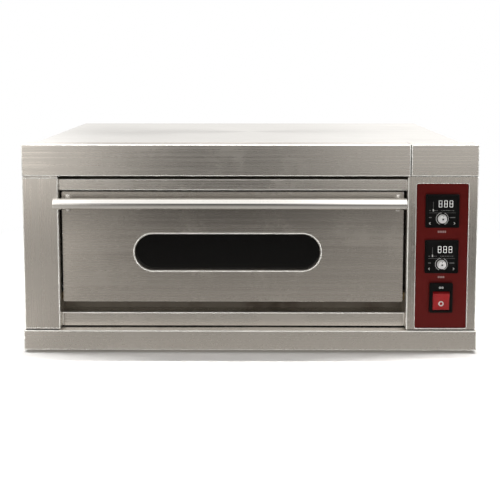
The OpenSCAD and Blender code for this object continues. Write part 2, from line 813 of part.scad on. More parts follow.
// The rocker turns on two pins. Its round ends are arcs about them, so they keep their gap to the well.
// At rest the lower half is pressed in and the upper half stands out.
module power_rocker() color("red") {
    face = rocker_pivot - fascia_recess + switch_proud + 1;
    intersection() {
        rod_x(controls_x - rocker_w / 2, controls_x + rocker_w / 2, rocker_pivot, rocker_z, rocker_r);
        translate([controls_x - rocker_w / 2, front_y + rocker_pivot, rocker_z]) rotate([90, 0, 90])
            linear_extrude(rocker_w) polygon([[-face, -2 * rocker_r], [-face, 0],
                [-face - 2 * rocker_r * tan(rocker_throw), 2 * rocker_r], [rocker_back, 2 * rocker_r],
                [rocker_back, -2 * rocker_r]]);
    }
    rod_x(controls_x - rocker_w / 2 - rocker_pin_l, controls_x + rocker_w / 2 + rocker_pin_l, rocker_pivot,
        rocker_z, rocker_pin_r);
}

// ---- Door ----

module door_outer_panel() color("silver") difference() {
    folded_box(door_l, door_r, door_recess, door_back - inner_panel_t, door_z0, door_z1, skin);
    slab(door_recess - 1, door_recess + skin + 1) window2d(trim_w);
    rod_x(door_l - 1, door_l + 5, pivot_recess, pivot_z, pin_r);
    rod_x(door_r - 5, door_r + 1, pivot_recess, pivot_z, pin_r);
    for (x = bracket_x, z = handle_screw_z)
        rod_y(x, door_recess - 1, door_recess + skin + 1, z, handle_screw_r);
}

module door_inner_panel() color("silver") slab(door_back - inner_panel_t, door_back) difference() {
    panel2d(door_l, door_r, door_z0, door_z1);
    window2d(trim_w + 2);
}

module door_insulation() color("khaki") difference() {
    block(door_l + skin, door_r - skin, door_recess + skin + 1.5, door_back - inner_panel_t, door_z0 + skin,
        door_z1 - skin);
    slab(door_recess, door_back) window2d(trim_w - sheet);
    for (x = [[door_l, door_l + pin_hold + 7], [door_r - pin_hold - 7, door_r]])
        block(x[0], x[1], door_recess, door_back, door_z0, pivot_z + pin_r + 8);
    for (x = bracket_x, z = handle_screw_z)
        rod_y(x, door_recess, door_recess + handle_screw_l + insulation_gap, z, handle_screw_r);
}

// The bright ring that covers the hole's edge and steps down into the window
module window_trim() color("white") {
    slab(door_recess - 1.5, door_recess) difference() {
        window2d(0);
        window2d(trim_w);
    }
}

// The tube between the two faces of the door, with a step that the panes rest on
module window_tunnel() color("gray") {
    slab(door_recess + skin, door_back - inner_panel_t) difference() {
        window2d(trim_w - sheet);
        window2d(trim_w);
    }
    slab(door_recess + pane_recess + pane_t, inner_pane_recess) difference() {
        window2d(trim_w);
        window2d(trim_w + 4);
    }
}

module window_panes() color("black", 0.6) for (r = [door_recess + pane_recess, inner_pane_recess])
    slab(r, r + pane_t) window2d(trim_w);

module handle_bar() color("white") difference() {
    rod_x(bar_l, bar_end, -bar_reach, bar_z, bar_r);
    rod_x(bar_l + bar_cap, bar_end - bar_cap, -bar_reach, bar_z, bar_r - bar_wall);
}

// A flange on the door and an arm out to the bar, hollowed to sit against it
module handle_brackets() color("silver") difference() {
    for (x = bracket_x) {
        block(x - bracket_w / 2, x + bracket_w / 2, door_recess - flange_t, door_recess, bar_z - flange_down,
            bar_z + flange_up);
        block(x - bracket_w / 2, x + bracket_w / 2, -bar_reach, door_recess - flange_t, bar_z - arm_half,
            bar_z + arm_half);
    }
    rod_x(bar_l, bar_end, -bar_reach, bar_z, bar_r);
    handle_screw_shanks();
}

module handle_screw_shanks() for (x = bracket_x, z = handle_screw_z)
    rod_y(x, door_recess - flange_t - 1, door_recess + handle_screw_l, z, handle_screw_r);

module handle_screws() color("white") {
    handle_screw_shanks();
    for (x = bracket_x, z = handle_screw_z)
        rod_y(x, door_recess - flange_t - handle_screw_head_t, door_recess - flange_t, z,
            handle_screw_head_r);
}

// ---- Hinge ----

// Both sides of the hinge: the door's edge, the way out of the door, and the column's edge
hinge_sides = [[door_l, -1, open_l], [door_r, 1, open_r]];

module hinge_pins() color("silver") for (s = hinge_sides)
    rod_x(s[0] - s[1] * pin_hold, s[2] + s[1] * (sheet + plate_t + lever_gap + lever_t + 2), pivot_recess,
        pivot_z, pin_r);

module hinge_bushes() color("goldenrod") for (s = hinge_sides) difference() {
    union() {
        rod_x(s[2], s[2] + s[1] * (sheet + plate_t), pivot_recess, pivot_z, bush_r);
        rod_x(s[2] - s[1] * bush_flange, s[2], pivot_recess, pivot_z, bush_r + 3);
    }
    rod_x(s[2] - s[1] * 10, s[2] + s[1] * 20, pivot_recess, pivot_z, pin_r + pin_clearance);
}

// A plate on the column's inner wall that carries the bush, the spring's post and the stop post
module hinge_plates() color("gray") for (s = hinge_sides) {
    near = s[2] + s[1] * sheet;
    far = near + s[1] * plate_t;
    difference() {
        block(near, far, frame_d - plate_inset - plate_w, frame_d - plate_inset, stop_z - 20, anchor_z + 15);
        rod_x(near - s[1], far + s[1], pivot_recess, pivot_z, bush_r);
    }
    rod_x(far, far + s[1] * (lever_gap + lever_t + 2), stop_recess, stop_z, stop_r);
    rod_x(far, far + s[1] * (lever_gap + lever_t + 2), anchor_recess, anchor_z, eye_r);
}

module hinge_levers() color("silver") for (s = hinge_sides) {
    near = s[2] + s[1] * (sheet + plate_t + lever_gap);
    far = near + s[1] * lever_t;
    difference() {
        union() {
            rod_x(near, far, pivot_recess, pivot_z, lever_hub_r);
            translate([0, front_y + pivot_recess, pivot_z]) rotate([lever_tilt, 0, 0])
                translate([min(near, far), -lever_w / 2, 0]) cube([lever_t, lever_w, lever_l + 6]);
        }
        rod_x(near - 20, far + 20, pivot_recess, pivot_z, pin_r);
        rod_x(near - 20, far + 20, eye_recess, eye_z, eye_r);
    }
}

// A close-coiled spring, as a tube with one ridge for each turn. A hook beside the lever goes through
// its eye, and another reaches up to the post.
module hinge_springs() color("dimgray") for (s = hinge_sides) {
    x = s[2] + s[1] * (sheet + plate_t + lever_gap + lever_t / 2);
    run = norm([eye_recess - anchor_recess, anchor_z - eye_z]);
    lean = atan2(eye_recess - anchor_recess, anchor_z - eye_z);
    turns = floor((run - 2 * spring_hook) / spring_pitch) - 1;
    coil_top = spring_hook + turns * spring_pitch;
    hook_x = s[1] * (lever_t / 2 + eye_play + spring_wire);
    translate([x, front_y + eye_recess, eye_z]) rotate([lean, 0, 0]) {
        rotate_extrude() {
            polygon(concat(
                [[0, spring_hook], [0, spring_hook - spring_wire], [spring_r, spring_hook - spring_wire]],
                [for (i = [0 : turns], half = [0, 1]) [spring_r + spring_wire * (1 - half),
                    spring_hook + (i + half / 2) * spring_pitch]],
                [[spring_r, coil_top + spring_pitch], [0, coil_top + spring_pitch],
                    [0, coil_top + spring_pitch - spring_wire],
                    [spring_r - spring_wire, coil_top + spring_pitch - spring_wire],
                    [spring_r - spring_wire, spring_hook]]));
            translate([0, coil_top + spring_pitch])
                square([spring_wire, run - coil_top - spring_pitch - eye_r - eye_play]);
        }
        translate([hook_x, 0, 0]) cylinder(h = spring_hook, r = spring_wire);
        rotate([0, s[1] * 90, 0]) translate([0, 0, -lever_t / 2])
            cylinder(h = lever_t + eye_play + 2 * spring_wire, r = eye_r - eye_play);
    }
}

module door_seal() color("gray") difference() {
    block(chamber_l - seal_margin - seal_w, chamber_r + seal_margin + seal_w, door_back + seal_gap,
        chamber_front_recess, mouth_z0 - seal_margin - seal_w, mouth_z1 + seal_margin + seal_w);
    block(chamber_l - seal_margin, chamber_r + seal_margin, door_back, chamber_front_recess + 1,
        mouth_z0 - seal_margin, mouth_z1 + seal_margin);
}

base_pan();
feet();
plinth();
left_column();
right_column();
canopy();
canopy_cap();
header_rail();
sill_rail();
left_side_panel();
right_side_panel();
back_panel();
top_panel();
panel_screws();
chamber_front();
chamber_floor();
chamber_roof();
chamber_side_walls();
chamber_back_wall();
side_insulation();
deck_insulation();
upper_elements();
lower_elements();
element_supports();
stone_ledges();
baking_stones();
lamp_housing();
lamp_bulb();
lamp_lens();
temperature_probes();
steam_outlet();
electrics_partition();
contactors();
terminal_block();
wiring_loom();
control_fascia();
upper_controller();
lower_controller();
display_windows();
upper_dial();
lower_dial();
switch_case();
power_rocker();
door_outer_panel();
door_inner_panel();
door_insulation();
window_panes();
window_trim();
window_tunnel();
handle_bar();
handle_brackets();
handle_screws();
hinge_pins();
hinge_bushes();
hinge_levers();
hinge_springs();
hinge_plates();
door_seal();
cable_gland();
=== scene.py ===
"""Looks of a one-deck electric bakery oven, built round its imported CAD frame.

X runs across the front from left to right, Y from the front to the back and Z up, in metres.
Each class builds one sub-assembly: sheet-metal cabinet, door, controls, chamber, electrics and studio.
"""

import logging
import math
from dataclasses import dataclass, field
from enum import Enum
from typing import Callable, Iterable, Sequence

import bmesh
import bpy
from mathutils import Matrix, Vector


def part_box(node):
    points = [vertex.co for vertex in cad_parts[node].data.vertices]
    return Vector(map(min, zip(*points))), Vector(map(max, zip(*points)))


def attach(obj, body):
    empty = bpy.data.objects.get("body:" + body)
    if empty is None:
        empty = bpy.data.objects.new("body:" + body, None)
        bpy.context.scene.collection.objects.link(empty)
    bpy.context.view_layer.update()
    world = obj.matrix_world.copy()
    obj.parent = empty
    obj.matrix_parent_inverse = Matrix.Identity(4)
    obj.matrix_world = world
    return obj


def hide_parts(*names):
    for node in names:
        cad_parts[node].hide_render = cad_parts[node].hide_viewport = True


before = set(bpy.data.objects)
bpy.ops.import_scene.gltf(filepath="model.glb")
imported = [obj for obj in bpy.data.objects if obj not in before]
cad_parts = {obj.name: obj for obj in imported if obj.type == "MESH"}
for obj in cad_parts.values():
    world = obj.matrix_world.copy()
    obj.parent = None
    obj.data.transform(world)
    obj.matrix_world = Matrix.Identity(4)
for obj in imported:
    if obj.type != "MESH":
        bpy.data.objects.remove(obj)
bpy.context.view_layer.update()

MM = 0.001
LOG = logging.getLogger("oven")
Colour = tuple[float, float, float]
# Turns a shape drawn flat, X to the right and Y up, to face the front; its Z then points forward
FACE_FRONT = Matrix.Rotation(math.radians(90), 4, "X")
WELD = 1e-5
RIGHTWARD, BACKWARD, FORWARD, UPWARD = (1, 0, 0), (0, 1, 0), (0, -1, 0), (0, 0, 1)
FRONT_BEND = 3.2 * MM
PRINT_THICK = 0.15 * MM
PRINT_LIFT = 0.05 * MM


# ---- Shader trees ----


class Tree:
    """Adds nodes to one shader tree and links them.

    Args:
        tree: The node tree to build in.
    """

    def __init__(self, tree: bpy.types.NodeTree) -> None:
        """Keeps the tree."""
        self.tree = tree

    def node(self, kind: str, **values: object) -> bpy.types.Node:
        """Adds a node and sets its properties.

        Args:
            kind: The node's type name.
            values: Property names and their values.

        Returns:
            The new node.
        """
        made = self.tree.nodes.new(kind)
        for name, value in values.items():
            setattr(made, name, value)
        return made

    def feed(self, socket: bpy.types.NodeSocket, value: object) -> None:
        """Links an output to an input, or sets the input's own value.

        Args:
            socket: The input.
            value: An output of a node, or a plain value.
        """
        if isinstance(value, bpy.types.NodeSocket):
            self.tree.links.new(value, socket)
        else:
            socket.default_value = value

    def feed_all(self, node: bpy.types.Node, values: dict[str, object]) -> None:
        """Feeds several inputs of a node.

        Args:
            node: The node.
            values: Names of its inputs and what feeds each.
        """
        for name, value in values.items():
            self.feed(node.inputs[name], value)

    def math(self, operation: str, *values: object) -> bpy.types.NodeSocket:
        """Adds a Math node.

        Args:
            operation: The Math node's operation.
            values: Its inputs, as sockets or numbers.

        Returns:
            The node's output.
        """
        made = self.node("ShaderNodeMath", operation=operation)
        for socket, value in zip(made.inputs, values):
            self.feed(socket, value)
        return made.outputs[0]

    def noise(self, vector: object, scale: object, detail: float = 2.0,
              rough: float = 0.5) -> bpy.types.NodeSocket:
        """Adds a noise texture.

        Args:
            vector: Where the texture is read.
            scale: How fine it is.
            detail: Octaves of detail.
            rough: Weight of the finer octaves.

        Returns:
            Its value, about 0.5 on average.
        """
        made = self.node("ShaderNodeTexNoise")
        self.feed_all(made, {"Vector": vector, "Scale": scale, "Detail": detail, "Roughness": rough})
        return made.outputs["Fac"]

    def cells(self, vector: object, scale: object, output: str = "Distance") -> bpy.types.NodeSocket:
        """Adds a Voronoi texture.

        Args:
            vector: Where the texture is read.
            scale: How fine it is.
            output: Which of its outputs is wanted.

        Returns:
            That output.
        """
        made = self.node("ShaderNodeTexVoronoi")
        self.feed_all(made, {"Vector": vector, "Scale": scale})
        return made.outputs[output]

    def fit(self, value: object, low: object, high: object, start: object = 0.0, end: object = 1.0,
            smooth: bool = True) -> bpy.types.NodeSocket:
        """Carries a value from one range to another.

        Args:
            value: The value that changes.
            low: Where the first range starts.
            high: Where it ends.
            start: The result at low.
            end: The result at high.
            smooth: Whether the ends are eased.

        Returns:
            The result.
        """
        made = self.node("ShaderNodeMapRange", interpolation_type="SMOOTHSTEP" if smooth else "LINEAR")
        for socket, given in zip(made.inputs, (value, low, high, start, end)):
            self.feed(socket, given)
        return made.outputs[0]

    def blend(self, factor: object, first: object, second: object) -> bpy.types.NodeSocket:
        """Mixes two colours.

        Args:
            factor: Share of the second colour.
            first: A colour or a socket.
            second: A colour or a socket.

        Returns:
            The mixed colour.
        """
        made = self.node("ShaderNodeMix", data_type="RGBA")
        self.feed(made.inputs["Factor"], factor)
        self.feed(made.inputs[6], first)
        self.feed(made.inputs[7], second)
        return made.outputs[2]

    def place(self, scale: Sequence[float], turn: Sequence[float] = (0, 0, 0)) -> bpy.types.NodeSocket:
        """Object coordinates, scaled and turned.

        Args:
            scale: Scale on each axis.
            turn: Turn about each axis, in degrees.

        Returns:
            The vector.
        """
        mapping = self.node("ShaderNodeMapping")
        self.feed_all(mapping, {
            "Scale": scale,
            "Rotation": [math.radians(angle) for angle in turn],
            "Vector": self.node("ShaderNodeTexCoord").outputs["Object"],
        })
        return mapping.outputs[0]

    def axes(self, vector: object) -> bpy.types.NodeOutputs:
        """Splits a vector.

        Args:
            vector: The vector.

        Returns:
            Its X, Y and Z outputs.
        """
        made = self.node("ShaderNodeSeparateXYZ")
        self.feed(made.inputs[0], vector)
        return made.outputs


def grey(level: float) -> Colour:
    """A neutral colour."""
    return (level, level, level)


def shade(colour: Sequence[float], factor: float) -> tuple[float, float, float, float]:
    """A colour made lighter or darker, with an alpha of 1."""
    return (colour[0] * factor, colour[1] * factor, colour[2] * factor, 1.0)


class Effect(Enum):
    """The shared surface effects, each one node group."""

    STREAKS = "brushed_streaks"
    SMUDGES = "hand_smudges"
    DUST = "settled_dust"
    SPECKLE = "fine_speckle"


@dataclass(frozen=True)
class Sockets:
    """Named inputs, with their starting values, and named outputs of an effect's group."""

    inputs: tuple[tuple[str, float], ...]
    outputs: tuple[str, ...]


EFFECT_SOCKETS = {
    Effect.STREAKS: Sockets((("Fine", 900.0), ("Broad", 130.0)), ("Shade", "Height")),
    Effect.SMUDGES: Sockets((("Scale", 9.0), ("Amount", 0.5)), ("Mask",)),
    Effect.DUST: Sockets((("Low", 0.0), ("High", 0.1), ("Amount", 0.5)), ("Mask",)),
    Effect.SPECKLE: Sockets((("Scale", 900.0), ("Contrast", 0.5)), ("Shade", "Height")),
}


def fill_streaks(tree: Tree, given: dict[str, bpy.types.NodeSocket]) -> dict[str, bpy.types.NodeSocket]:
    """Brush lines: fine hairlines over broader bands.

    Args:
        tree: The group's tree.
        given: The group's inputs by name.

    Returns:
        What feeds each output.
    """
    fine = tree.noise(given["Vector"], given["Fine"], 4.0, 0.6)
    broad = tree.noise(given["Vector"], given["Broad"], 3.0, 0.55)
    both = tree.math("ADD", tree.math("MULTIPLY", fine, 0.45), tree.math("MULTIPLY", broad, 0.55))
    return {"Shade": tree.fit(both, 0.32, 0.68), "Height": fine}


def fill_smudges(tree: Tree, given: dict[str, bpy.types.NodeSocket]) -> dict[str, bpy.types.NodeSocket]:
    """Soft patches, such as wiped grease and finger marks leave.

    Args:
        tree: The group's tree.
        given: The group's inputs by name.

    Returns:
        What feeds each output.
    """
    cloud = tree.noise(given["Vector"], given["Scale"], 5.0, 0.62)
    return {"Mask": tree.math("MULTIPLY", tree.fit(cloud, 0.46, 0.72), given["Amount"])}


def fill_dust(tree: Tree, given: dict[str, bpy.types.NodeSocket]) -> dict[str, bpy.types.NodeSocket]:
    """Dust that is thickest low on the object and thins out upwards.

    Args:
        tree: The group's tree.
        given: The group's inputs by name.

    Returns:
        What feeds each output.
    """
    fade = tree.fit(tree.axes(given["Vector"])["Z"], given["Low"], given["High"], 1.0, 0.0)
    cloud = tree.fit(tree.noise(given["Vector"], 60.0, 6.0, 0.7), 0.35, 0.7)
    return {"Mask": tree.math("MULTIPLY", tree.math("MULTIPLY", fade, cloud), given["Amount"])}


def fill_speckle(tree: Tree, given: dict[str, bpy.types.NodeSocket]) -> dict[str, bpy.types.NodeSocket]:
    """Fine irregular grain, as moulded plastic, enamel or fired clay has.

    Args:
        tree: The group's tree.
        given: The group's inputs by name.

    Returns:
        What feeds each output.
    """
    grain = tree.noise(given["Vector"], given["Scale"], 3.0, 0.6)
    cell = tree.cells(given["Vector"], given["Scale"])
    mixed = tree.math("ADD", tree.math("MULTIPLY", grain, 0.7), tree.math("MULTIPLY", cell, 0.3))
    half = tree.math("MULTIPLY", given["Contrast"], 0.5)
    return {
        "Shade": tree.fit(mixed, tree.math("SUBTRACT", 0.5, half), tree.math("ADD", 0.5, half)),
        "Height": mixed,
    }


EFFECT_FILLS: dict[Effect, Callable[[Tree, dict], dict]] = {
    Effect.STREAKS: fill_streaks,
    Effect.SMUDGES: fill_smudges,
    Effect.DUST: fill_dust,
    Effect.SPECKLE: fill_speckle,
}


def effect_group(effect: Effect) -> bpy.types.NodeTree:
    """The node group of an effect, built the first time it is asked for.

    Args:
        effect: Which effect.

    Returns:
        Its node group.
    """
    found = bpy.data.node_groups.get(effect.value)
    if found:
        return found
    group = bpy.data.node_groups.new(effect.value, "ShaderNodeTree")
    sockets = EFFECT_SOCKETS[effect]
    group.interface.new_socket("Vector", in_out="INPUT", socket_type="NodeSocketVector")
    for name, value in sockets.inputs:
        made = group.interface.new_socket(name, in_out="INPUT", socket_type="NodeSocketFloat")
        made.default_value = value
    for name in sockets.outputs:
        group.interface.new_socket(name, in_out="OUTPUT", socket_type="NodeSocketFloat")
    tree = Tree(group)
    entry = tree.node("NodeGroupInput")
    leave = tree.node("NodeGroupOutput")
    given = {socket.name: socket for socket in entry.outputs if socket.name}
    tree.feed_all(leave, EFFECT_FILLS[effect](tree, given))
    return group


def add_effect(tree: Tree, effect: Effect, vector: object, **values: object) -> bpy.types.Node:
    """Places an effect in a material.

    Args:
        tree: The material's tree.
        effect: Which effect.
        vector: Where it is read.
        values: Values of its named inputs.

    Returns:
        The group node.
    """
    made = tree.node("ShaderNodeGroup", node_tree=effect_group(effect))
    tree.feed_all(made, {"Vector": vector, **values})
    return made


# ---- Finishes ----


class Lay(Enum):
    """Which way brush lines run, as the scale of the texture on each axis."""

    ACROSS = (0.004, 1.0, 1.0)
    UPRIGHT = (1.0, 1.0, 0.004)


@dataclass(frozen=True)
class Finish:
    """What all finishes share: a name, and one material that is made once."""

    name: str

    def material(self) -> bpy.types.Material:
        """The material, built the first time it is asked for.

        Returns:
            The material.
        """
        title = "finish_" + self.name
        found = bpy.data.materials.get(title)
        if found:
            return found
        made = bpy.data.materials.new(title)
        made.use_nodes = True
        tree = Tree(made.node_tree)
        self.wire(tree, made.node_tree.nodes["Principled BSDF"])
        return made

    def wire(self, tree: Tree, shader: bpy.types.Node) -> None:
        """Each finish wires its own shader."""
        raise NotImplementedError


def add_bump(tree: Tree, shader: bpy.types.Node, height: object, distance: float) -> None:
    """Feeds a height through a Bump node to a shader's normal.

    Args:
        tree: The material's tree.
        shader: The shader.
        height: The height, about 0 to 1.
        distance: How high 1 is, in metres.
    """
    bump = tree.node("ShaderNodeBump")
    tree.feed_all(bump, {"Strength": 1.0, "Distance": distance, "Height": height})
    tree.feed(shader.inputs["Normal"], bump.outputs[0])


@dataclass(frozen=True)
class BrushedSteel(Finish):
    """Brushed stainless sheet: hairlines, broad bands, wiped smudges, dust near the floor and, where asked
    for, painted shade that darkens it towards the top.
    """

    base: Colour = (0.66, 0.63, 0.59)
    lay: Lay = Lay.ACROSS
    roughness: float = 0.27
    contrast: float = 0.05
    broad: float = 240.0
    smudge: float = 0.5
    # Heights in metres over which painted shade darkens the sheet towards its top, or None
    painted_top_shade: tuple[float, float] | None = None

    def wire(self, tree: Tree, shader: bpy.types.Node) -> None:
        """Wires colour, roughness and brushed bump.

        Args:
            tree: The material's tree.
            shader: Its Principled shader.
        """
        plain = tree.place((1, 1, 1))
        streaks = add_effect(tree, Effect.STREAKS, tree.place(self.lay.value), Fine=900.0, Broad=self.broad)
        smudges = add_effect(tree, Effect.SMUDGES, plain, Scale=7.0, Amount=self.smudge)
        dust = add_effect(tree, Effect.DUST, plain, Low=0.0, High=0.09, Amount=0.35)
        metal = tree.blend(streaks.outputs["Shade"], shade(self.base, 1 - self.contrast),
                           shade(self.base, 1 + self.contrast))
        greasy, dusty = smudges.outputs["Mask"], dust.outputs["Mask"]
        wiped = tree.blend(tree.math("MULTIPLY", greasy, 0.22), metal, shade(self.base, 0.8))
        # Painted shade, not browning: from the lower height to the upper one the colour darkens, standing in
        # for the shadow of the canopy and the handle bar
        if self.painted_top_shade:
            browned = tree.fit(tree.axes(plain)["Z"], *self.painted_top_shade, 0.0, 0.45)
            wiped = tree.blend(browned, wiped, shade(self.base, 0.3))
        rough = tree.fit(streaks.outputs["Shade"], 0.0, 1.0, self.roughness + 0.05, self.roughness - 0.05,
                         False)
        rough = tree.math("ADD", rough, tree.math("MULTIPLY", greasy, 0.12))
        tree.feed_all(shader, {
            "Base Color": tree.blend(dusty, wiped, (0.42, 0.39, 0.35, 1)),
            "Roughness": tree.math("ADD", rough, tree.math("MULTIPLY", dusty, 0.3)),
            "Metallic": 1.0,
            "Anisotropic": 0.55,
            "Anisotropic Rotation": 0.0 if self.lay is Lay.UPRIGHT else 0.25,
        })
        add_bump(tree, shader, streaks.outputs["Height"], 0.000012)


@dataclass(frozen=True)
class BareMetal(Finish):
    """Turned, plated or rolled metal with a fine grain and soft patches of tarnish."""

    base: Colour = (0.6, 0.6, 0.6)
    tarnish: Colour = (0.4, 0.38, 0.35)
    roughness: float = 0.35
    grain: float = 500.0
    patches: float = 14.0
    amount: float = 0.5
    bump: float = 0.00002
    metallic: float = 1.0

    def wire(self, tree: Tree, shader: bpy.types.Node) -> None:
        """Wires colour, roughness and a fine bump.

        Args:
            tree: The material's tree.
            shader: Its Principled shader.
        """
        plain = tree.place((1, 1, 1))
        grain = add_effect(tree, Effect.SPECKLE, plain, Scale=self.grain, Contrast=0.7)
        patches = add_effect(tree, Effect.SMUDGES, plain, Scale=self.patches, Amount=self.amount)
        metal = tree.blend(grain.outputs["Shade"], shade(self.base, 0.93), shade(self.base, 1.05))
        rough = tree.math("MULTIPLY_ADD", grain.outputs["Shade"], 0.08, self.roughness - 0.04)
        tree.feed_all(shader, {
            "Base Color": tree.blend(patches.outputs["Mask"], metal, shade(self.tarnish, 1.0)),
            "Roughness": tree.math("MULTIPLY_ADD", patches.outputs["Mask"], 0.18, rough),
            "Metallic": self.metallic,
        })
        add_bump(tree, shader, grain.outputs["Height"], self.bump)


@dataclass(frozen=True)
class Galvanised(Finish):
    """Zinc-coated sheet with its large crystals."""

    base: Colour = (0.52, 0.54, 0.55)
    crystal: float = 55.0

    def wire(self, tree: Tree, shader: bpy.types.Node) -> None:
        """Wires crystal tones, dull patches and roughness.

        Args:
            tree: The material's tree.
            shader: Its Principled shader.
        """
        plain = tree.place((1, 1, 1))
        crystals = tree.node("ShaderNodeRGBToBW")
        tree.feed(crystals.inputs[0], tree.cells(plain, self.crystal, "Color"))
        smudges = add_effect(tree, Effect.SMUDGES, plain, Scale=6.0, Amount=0.6)
        metal = tree.blend(crystals.outputs[0], shade(self.base, 0.82), shade(self.base, 1.12))
        tree.feed_all(shader, {
            "Base Color": tree.blend(smudges.outputs["Mask"], metal, shade(self.base, 0.7)),
            "Roughness": tree.math("MULTIPLY_ADD", crystals.outputs[0], 0.16, 0.36),
            "Metallic": 1.0,
        })
        grain = add_effect(tree, Effect.SPECKLE, plain, Scale=700.0, Contrast=0.6)
        add_bump(tree, shader, grain.outputs["Height"], 0.00002)


@dataclass(frozen=True)
class Coating(Finish):
    """Paint, moulded plastic or rubber: a grained surface with wear patches and dust."""

    base: Colour = (0.05, 0.05, 0.05)
    worn: Colour = (0.1, 0.1, 0.1)
    roughness: float = 0.45
    grain: float = 900.0
    bump: float = 0.00003
    wear: float = 0.35
    spread: float = 0.06
    coat: float = 0.0
    gloss: float = 0.1

    def wire(self, tree: Tree, shader: bpy.types.Node) -> None:
        """Wires colour, roughness and a moulded grain.

        Args:
            tree: The material's tree.
            shader: Its Principled shader.
        """
        plain = tree.place((1, 1, 1))
        grain = add_effect(tree, Effect.SPECKLE, plain, Scale=self.grain, Contrast=0.6)
        wear = add_effect(tree, Effect.SMUDGES, plain, Scale=22.0, Amount=self.wear)
        dust = add_effect(tree, Effect.DUST, plain, Low=0.0, High=0.05, Amount=0.4)
        colour = tree.blend(grain.outputs["Shade"], shade(self.base, 1 - self.spread),
                            shade(self.base, 1 + self.spread))
        colour = tree.blend(wear.outputs["Mask"], colour, shade(self.worn, 1.0))
        rough = tree.math("MULTIPLY_ADD", grain.outputs["Shade"], 0.08, self.roughness - 0.04)
        tree.feed_all(shader, {
            "Base Color": tree.blend(dust.outputs["Mask"], colour, (0.3, 0.28, 0.25, 1)),
            "Roughness": tree.math("MULTIPLY_ADD", wear.outputs["Mask"], 0.15, rough),
            "Coat Weight": self.coat,
            "Coat Roughness": 0.12,
            "Specular IOR Level": self.gloss,
        })
        add_bump(tree, shader, grain.outputs["Height"], self.bump)


@dataclass(frozen=True)
class Glass(Finish):
    """Glass with wiped smears that only its roughness shows."""

    tint: Colour = (1, 1, 1)
    roughness: float = 0.02
    through: float = 1.0
    gloss: float = 0.5

    def wire(self, tree: Tree, shader: bpy.types.Node) -> None:
        """Wires a tint with faint streaks and a smeared roughness.

        Args:
            tree: The material's tree.
            shader: Its Principled shader.
        """
        smears = add_effect(tree, Effect.SMUDGES, tree.place((1, 1, 2.5), (0, 30, 0)), Scale=8.0, Amount=0.5)
        cloud = tree.noise(tree.place((1, 1, 1)), 5.0, 3.0)
        tree.feed_all(shader, {
            "Base Color": tree.blend(cloud, shade(self.tint, 0.92), shade(self.tint, 1.0)),
            "Roughness": tree.math("MULTIPLY_ADD", smears.outputs["Mask"], 0.06, self.roughness),
            "Metallic": 0.0,
            "IOR": 1.5,
            "Specular IOR Level": self.gloss,
            "Transmission Weight": self.through,
        })


@dataclass(frozen=True)
class Glow(Finish):
    """A lit display segment, a little uneven as such segments are."""

    colour: Colour = (1, 1, 1)
    strength: float = 1.5

    def wire(self, tree: Tree, shader: bpy.types.Node) -> None:
        """Wires the uneven glow.

        Args:
            tree: The material's tree.
            shader: Its Principled shader.
        """
        uneven = tree.noise(tree.place((1, 1, 1)), 320.0, 2.0)
        colour = tree.blend(uneven, shade(self.colour, 0.8), shade(self.colour, 1.0))
        tree.feed_all(shader, {
            "Base Color": colour,
            "Emission Color": colour,
            "Emission Strength": self.strength,
            "Roughness": 0.4,
        })


@dataclass(frozen=True)
class Fibre(Finish):
    """Mineral wool or a braided glass rope."""

    base: Colour = (0.5, 0.42, 0.2)
    scale: float = 260.0
    braid: bool = False
    bump: float = 0.0012

    def wire(self, tree: Tree, shader: bpy.types.Node) -> None:
        """Wires fibres, or a braid, into colour and bump.

        Args:
            tree: The material's tree.
            shader: Its Principled shader.
        """
        if self.braid:
            fibres = tree.math("MAXIMUM", self.band(tree, 1), self.band(tree, -1))
        else:
            fibres = tree.noise(tree.place((1, 0.25, 4), (0, 35, 20)), self.scale, 5.0, 0.65)
        tree.feed_all(shader, {
            "Base Color": tree.blend(fibres, shade(self.base, 0.6), shade(self.base, 1.25)),
            "Roughness": tree.fit(fibres, 0.0, 1.0, 0.95, 0.8, False),
        })
        add_bump(tree, shader, fibres, self.bump)

    def band(self, tree: Tree, side: int) -> bpy.types.NodeSocket:
        """One set of slanting strands.

        Args:
            tree: The material's tree.
            side: 1 or -1, the way the strands slant.

        Returns:
            The strands' height.
        """
        wave = tree.node("ShaderNodeTexWave", wave_type="BANDS", bands_direction="X")
        slant = tree.place((1, 1, 1), (0, 45 * side, 0))
        tree.feed_all(wave, {"Vector": slant, "Scale": self.scale, "Distortion": 0.6})
        return wave.outputs["Fac"]


@dataclass(frozen=True)
class FiredStone(Finish):
    """Baking stone: pale fired clay with dark grains, pores and browned patches."""

    base: Colour = (0.46, 0.39, 0.30)

    def wire(self, tree: Tree, shader: bpy.types.Node) -> None:
        """Wires grains, browning and pores.

        Args:
            tree: The material's tree.
            shader: Its Principled shader.
        """
        plain = tree.place((1, 1, 1))
        grain = add_effect(tree, Effect.SPECKLE, plain, Scale=420.0, Contrast=0.5)
        browned = add_effect(tree, Effect.SMUDGES, plain, Scale=5.0, Amount=0.7)
        clay = tree.blend(grain.outputs["Shade"], shade(self.base, 0.75), shade(self.base, 1.15))
        clay = tree.blend(browned.outputs["Mask"], clay, (0.16, 0.10, 0.06, 1))
        pores = tree.fit(tree.cells(plain, 260.0), 0.08, 0.16)
        tree.feed_all(shader, {
            "Base Color": tree.blend(pores, (0.12, 0.09, 0.07, 1), clay),
            "Roughness": tree.fit(grain.outputs["Shade"], 0.0, 1.0, 0.92, 0.8, False),
        })
        add_bump(tree, shader, tree.math("MULTIPLY", pores, grain.outputs["Height"]), 0.0004)


